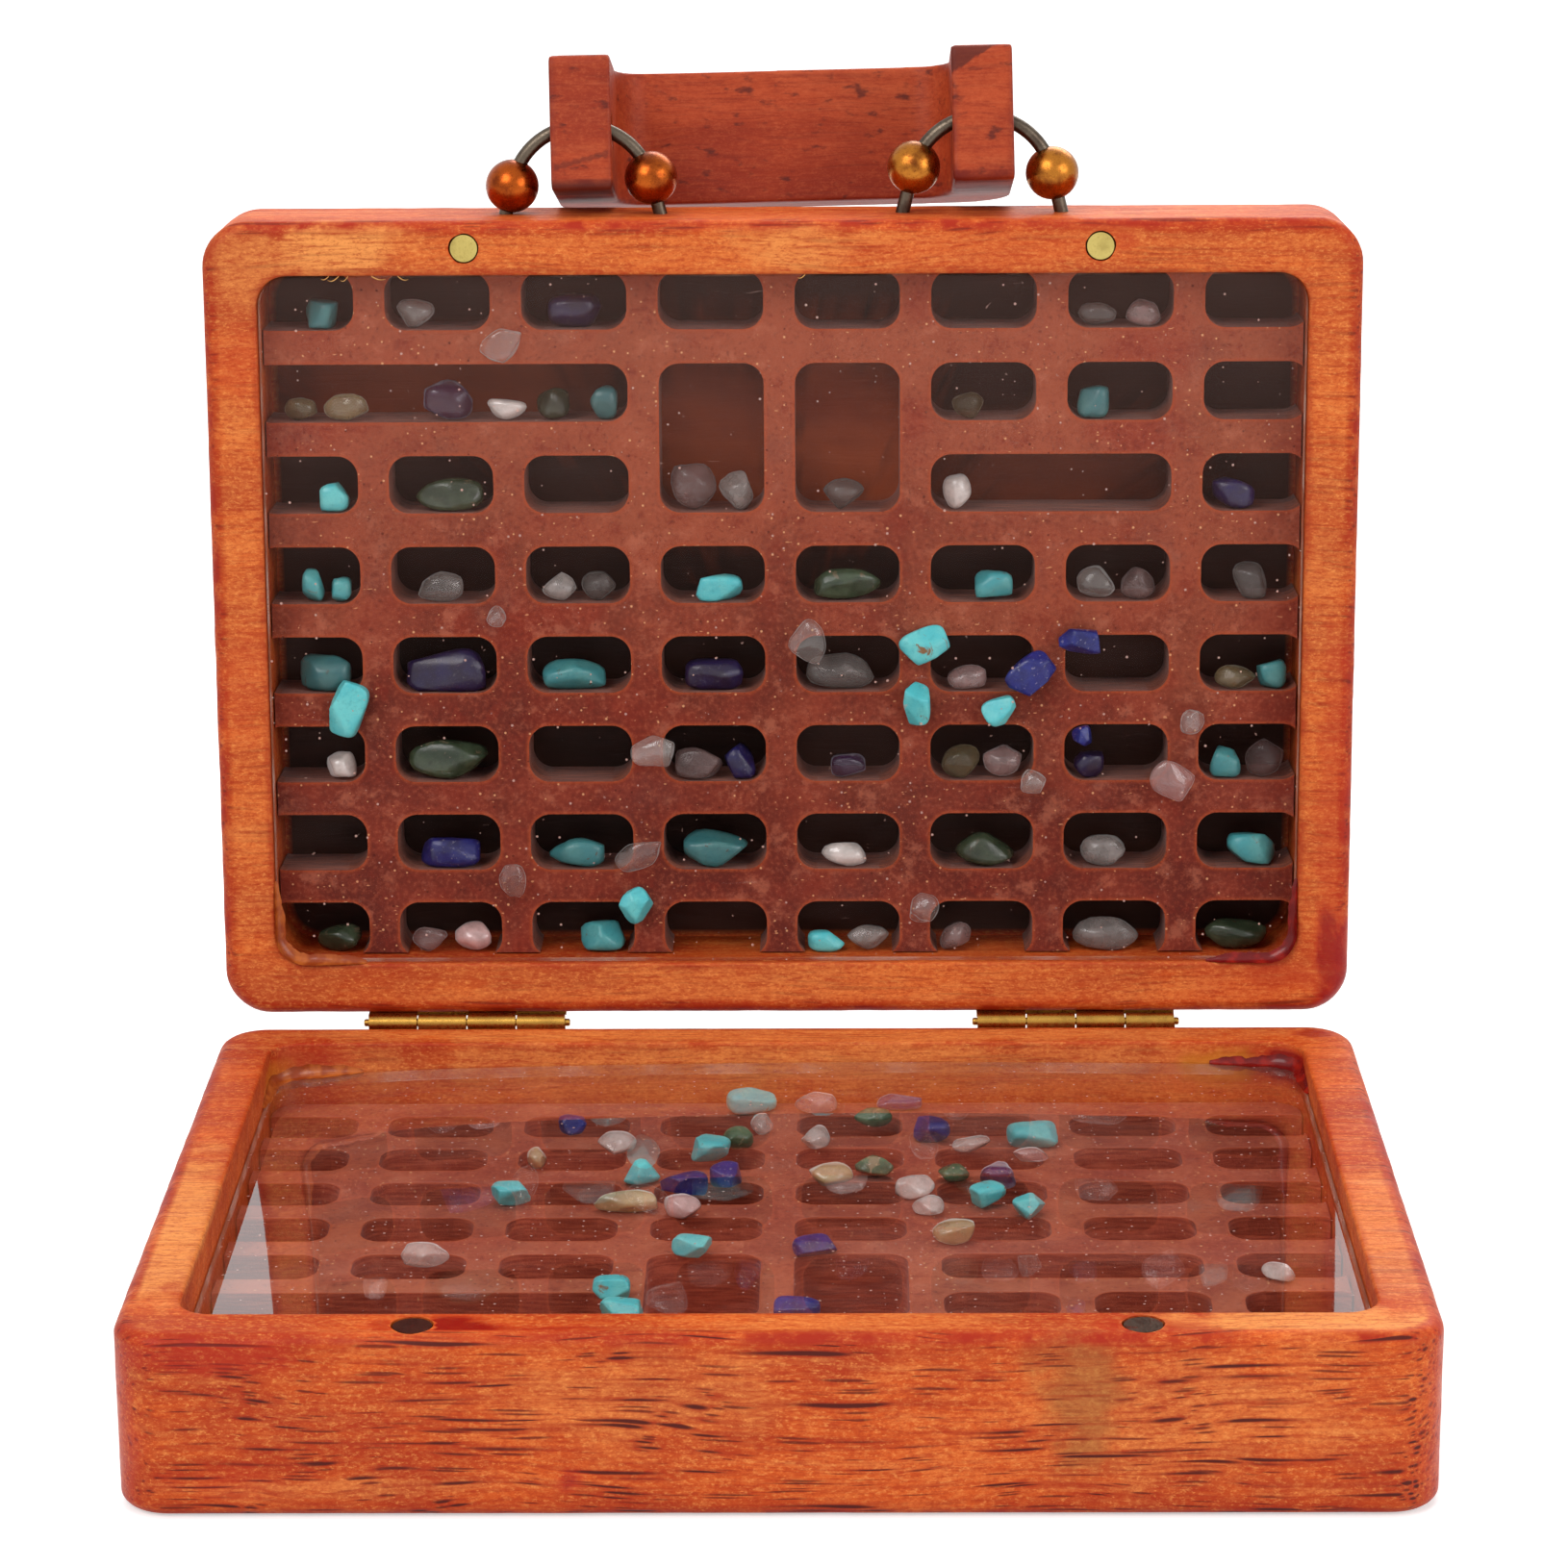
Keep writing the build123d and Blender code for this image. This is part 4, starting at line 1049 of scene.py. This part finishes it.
def specimens(which, mineral, seed):
    """One mineral's chips in a tray: bright under the window, darkened in the cells with painted shade."""
    node = f"{which}_{mineral}_chips"
    rng = random.Random(seed)
    chips = islands(node, which)
    bm = bmesh.new()
    for name in ("tint", "dim", "milk"):
        bm.verts.layers.float.new(name)
    layers = [bm.verts.layers.float[name] for name in ("tint", "dim", "milk")]
    for place, size, turn in chips:
        depth = BOARD_TOP[which] - place[2]
        near = min(hypot(place[0] - x, place[1] - y) for x, y in FORWARD_CHIPS)
        if depth < 0:
            dim = 0.0
            milk = rng.uniform(0.06, 0.24) if which == "lid" else rng.uniform(0.42, 0.75)
        else:
            # chips in the cells get painted shade, and those forward in the lid almost none
            dim = rng.choice((0.5, 0.7, 0.8, 0.88, 0.94))
            milk = rng.uniform(0.25, 0.7)
            if which == "lid" and near < 4.5:
                dim, milk = 0.05, 0.85
        values = (rng.random(), dim, milk)
        pebble(bm, layers, place, size, turn, rng, values, mineral in BLOCKY, depth < 0)
    for f in bm.faces:
        f.smooth = True
    mesh = closed(bm, f"{which}_{mineral}")
    obj = new_object(f"{which}_{mineral}", mesh, which, [STONES[mineral]])
    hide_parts(node)


for number, mineral in enumerate(STONES):
    specimens("base", mineral, 100 + number)
    specimens("lid", mineral, 200 + number)


# ---- handle
# The grip in its own frame, with X along the wires' line: half its length, its arms' inner faces, the front
# of the arms, and its lowest and highest z.
GRIP_HALF, GRIP_ARM = 30.25, 21.75
GRIP_FRONT, GRIP_LOW, GRIP_HIGH = -4.0, -8.45, 9.65
GRIP_VOXEL, GRIP_WORN = 0.36, 0.29


def handle():
    """The grip with its edges worn round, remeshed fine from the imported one."""
    obj = link("grip", closed(packed("handle_grip", "base"), "grip"))
    remesh = obj.modifiers.new("fine", "REMESH")
    remesh.mode = "VOXEL"
    remesh.voxel_size = GRIP_VOXEL * MM
    smooth = obj.modifiers.new("worn", "SMOOTH")
    smooth.factor = 0.5
    smooth.iterations = 5
    done = applied(obj)
    bpy.data.objects.remove(obj)
    done.transform(GRIP.inverted())
    done.polygons.foreach_set("use_smooth", [True] * len(done.polygons))
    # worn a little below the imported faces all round, and never past them
    source = [GRIP.inverted() @ v.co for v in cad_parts["handle_grip"].data.vertices]
    low = [min(p[i] for p in source) for i in range(3)]
    high = [max(p[i] for p in source) for i in range(3)]
    normals = [v.normal.copy() for v in done.vertices]
    for v, normal in zip(done.vertices, normals):
        p = v.co - normal * GRIP_WORN * MM
        v.co = [min(max(p[i], low[i]), high[i]) for i in range(3)]
    layers = {name: [] for name in ("edge", "pores", "brown")}
    for v in done.vertices:
        x, y, z = v.co / MM
        n = fbm(x, y, z, 0.12)
        # an edge is near where two faces are
        dz = min(z - GRIP_LOW, GRIP_HIGH - z)
        dy = y - GRIP_FRONT
        dx = min(GRIP_HALF - abs(x), abs(abs(x) - GRIP_ARM) if y < 15 else 9)
        near = sorted((dz, dy, dx))
        edge = max(0.0, min(1.0, 1.0 - near[1] / 1.3)) * (0.2 + n)
        if z < GRIP_LOW + 1.55 and y < 0:
            edge = max(edge, 0.55 + 0.5 * n)
        layers["edge"].append(edge)
        layers["pores"].append(0.14)
        # a darker wedge across the top of the right arm's front, a curved line low on the left arm's front,
        # and painted shade on the underside of the left arm
        slope = GRIP_HIGH - 4.2 + 0.62 * (x - GRIP_ARM) - z
        on_front = y < GRIP_FRONT + 0.8
        wedge = 1.0 if x > GRIP_ARM - 0.25 and on_front and slope < 0 else 0.0
        curve = abs(z - (-4.4 + 0.25 * (x + 26))) < 0.35 and -29.5 < x < -22.5 and on_front
        under = 0.8 * max(0.0, min(1.0, (-6.6 - z) / 0.9)) if x < 0 and y < 2 else 0.0
        layers["brown"].append(max(0.8 * wedge, 0.5 if curve else 0.0, under))
    set_attributes(done, layers)
    obj = new_object("grip", done, "handle", [HANDLE_WOOD])
    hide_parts("handle_grip")


handle()

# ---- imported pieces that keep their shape
FINISHES = (
    ("_leaf", BRASS), ("_hinge_pin", BRASS), ("_hinge_nails", NAIL_BRASS), ("_bead", BEAD), ("_staple", WIRE),
    ("base_magnet_left", RED_MAGNET), ("base_magnet_right", BASE_MAGNET),
    ("lid_magnet_left", LID_MAGNET), ("lid_magnet_right", LID_MAGNET),
)
for node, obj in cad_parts.items():
    for ending, material in FINISHES:
        if node.endswith(ending):
            for slot in obj.material_slots:
                slot.material = material

# ---- floor, light, camera
scene = bpy.context.scene
FLOOR_REACH = 14.0
FLOOR_CORNERS = [(x * FLOOR_REACH, y * FLOOR_REACH, 0) for x, y in ((-1, -1), (1, -1), (1, 1), (-1, 1))]
floor_mesh = bpy.data.meshes.new("floor")
floor_mesh.from_pydata(FLOOR_CORNERS, [], [(0, 1, 2, 3)])
floor = link("floor", floor_mesh)
floor.location.z = -0.0002
t = Tree("floor_white")
away = t.vmath("LENGTH", t.add("TexCoord").outputs["Object"])
matt = t.out("BsdfDiffuse", {"Color": (0.72, 0.72, 0.72, 1)})
white = t.out("Emission", {"Color": (1, 1, 1, 1), "Strength": t.step(away, 0.5, 2.0, 0.50, 0.95)})
lit = t.out("AddShader", {0: matt, 1: white})
plain = t.out("BsdfDiffuse", {"Color": (0.78, 0.77, 0.76, 1)})
floor_shader = t.blend(t.seen(), plain, lit)
floor_mesh.materials.append(t.finish(floor_shader))

t = Tree("studio", bpy.data.worlds.new("studio"))
soft = t.out("Background", {"Color": (1.0, 0.99, 0.975, 1), "Strength": 0.40})
white = t.out("Background", {"Color": (1, 1, 1, 1), "Strength": 1.0})
scene.world = t.finish(t.blend(t.seen(), soft, white))


def lamp(name, place, aim, size, power):
    data = bpy.data.lights.new(name, "AREA")
    data.shape = "RECTANGLE"
    data.size, data.size_y = size
    data.energy = power
    obj = link(name, data)
    obj.location = place
    obj.rotation_euler = (Vector(aim) - Vector(place)).to_track_quat("-Z", "Y").to_euler()
    return obj


lamp("key", (-0.55, -0.75, 0.95), (0, 0, 0.05), (0.7, 0.7), 7.6)
lamp("fill", (0.85, -0.65, 0.55), (0, 0, 0.06), (0.7, 0.6), 4.4)
lamp("top", (0.0, 0.15, 1.15), (0, 0, 0.05), (0.9, 0.7), 6.6).visible_glossy = False
lamp("rear", (0.3, 0.9, 0.7), (0, 0.06, 0.08), (0.8, 0.5), 4.0)

# The view's turns in radians, its place in metres, its focal length and frame in the photograph's pixels.
yaw, pitch, roll = -0.0114, 0.2804, -0.0061
EYE = (0.00655, -0.5278, 0.2228)
FOCAL_LENGTH, FRAME_WIDTH, SENSOR_WIDTH = 4776.6, 1630, 36.0
forward = Vector((sin(yaw) * cos(pitch), cos(yaw) * cos(pitch), -sin(pitch)))
right0 = Vector((cos(yaw), -sin(yaw), 0))
up0 = right0.cross(forward)
right = right0 * cos(roll) + up0 * sin(roll)
up = -right0 * sin(roll) + up0 * cos(roll)
camera_data = bpy.data.cameras.new("camera")
camera_data.sensor_width = SENSOR_WIDTH
camera_data.lens = FOCAL_LENGTH / FRAME_WIDTH * SENSOR_WIDTH
camera_data.clip_start = 0.01
camera_data.clip_end = 60
camera = link("camera", camera_data)
rotation = Matrix((right, up, -forward)).transposed().to_4x4()
camera.matrix_world = Matrix.Translation(EYE) @ rotation
scene.camera = camera

scene.view_settings.view_transform = "Standard"
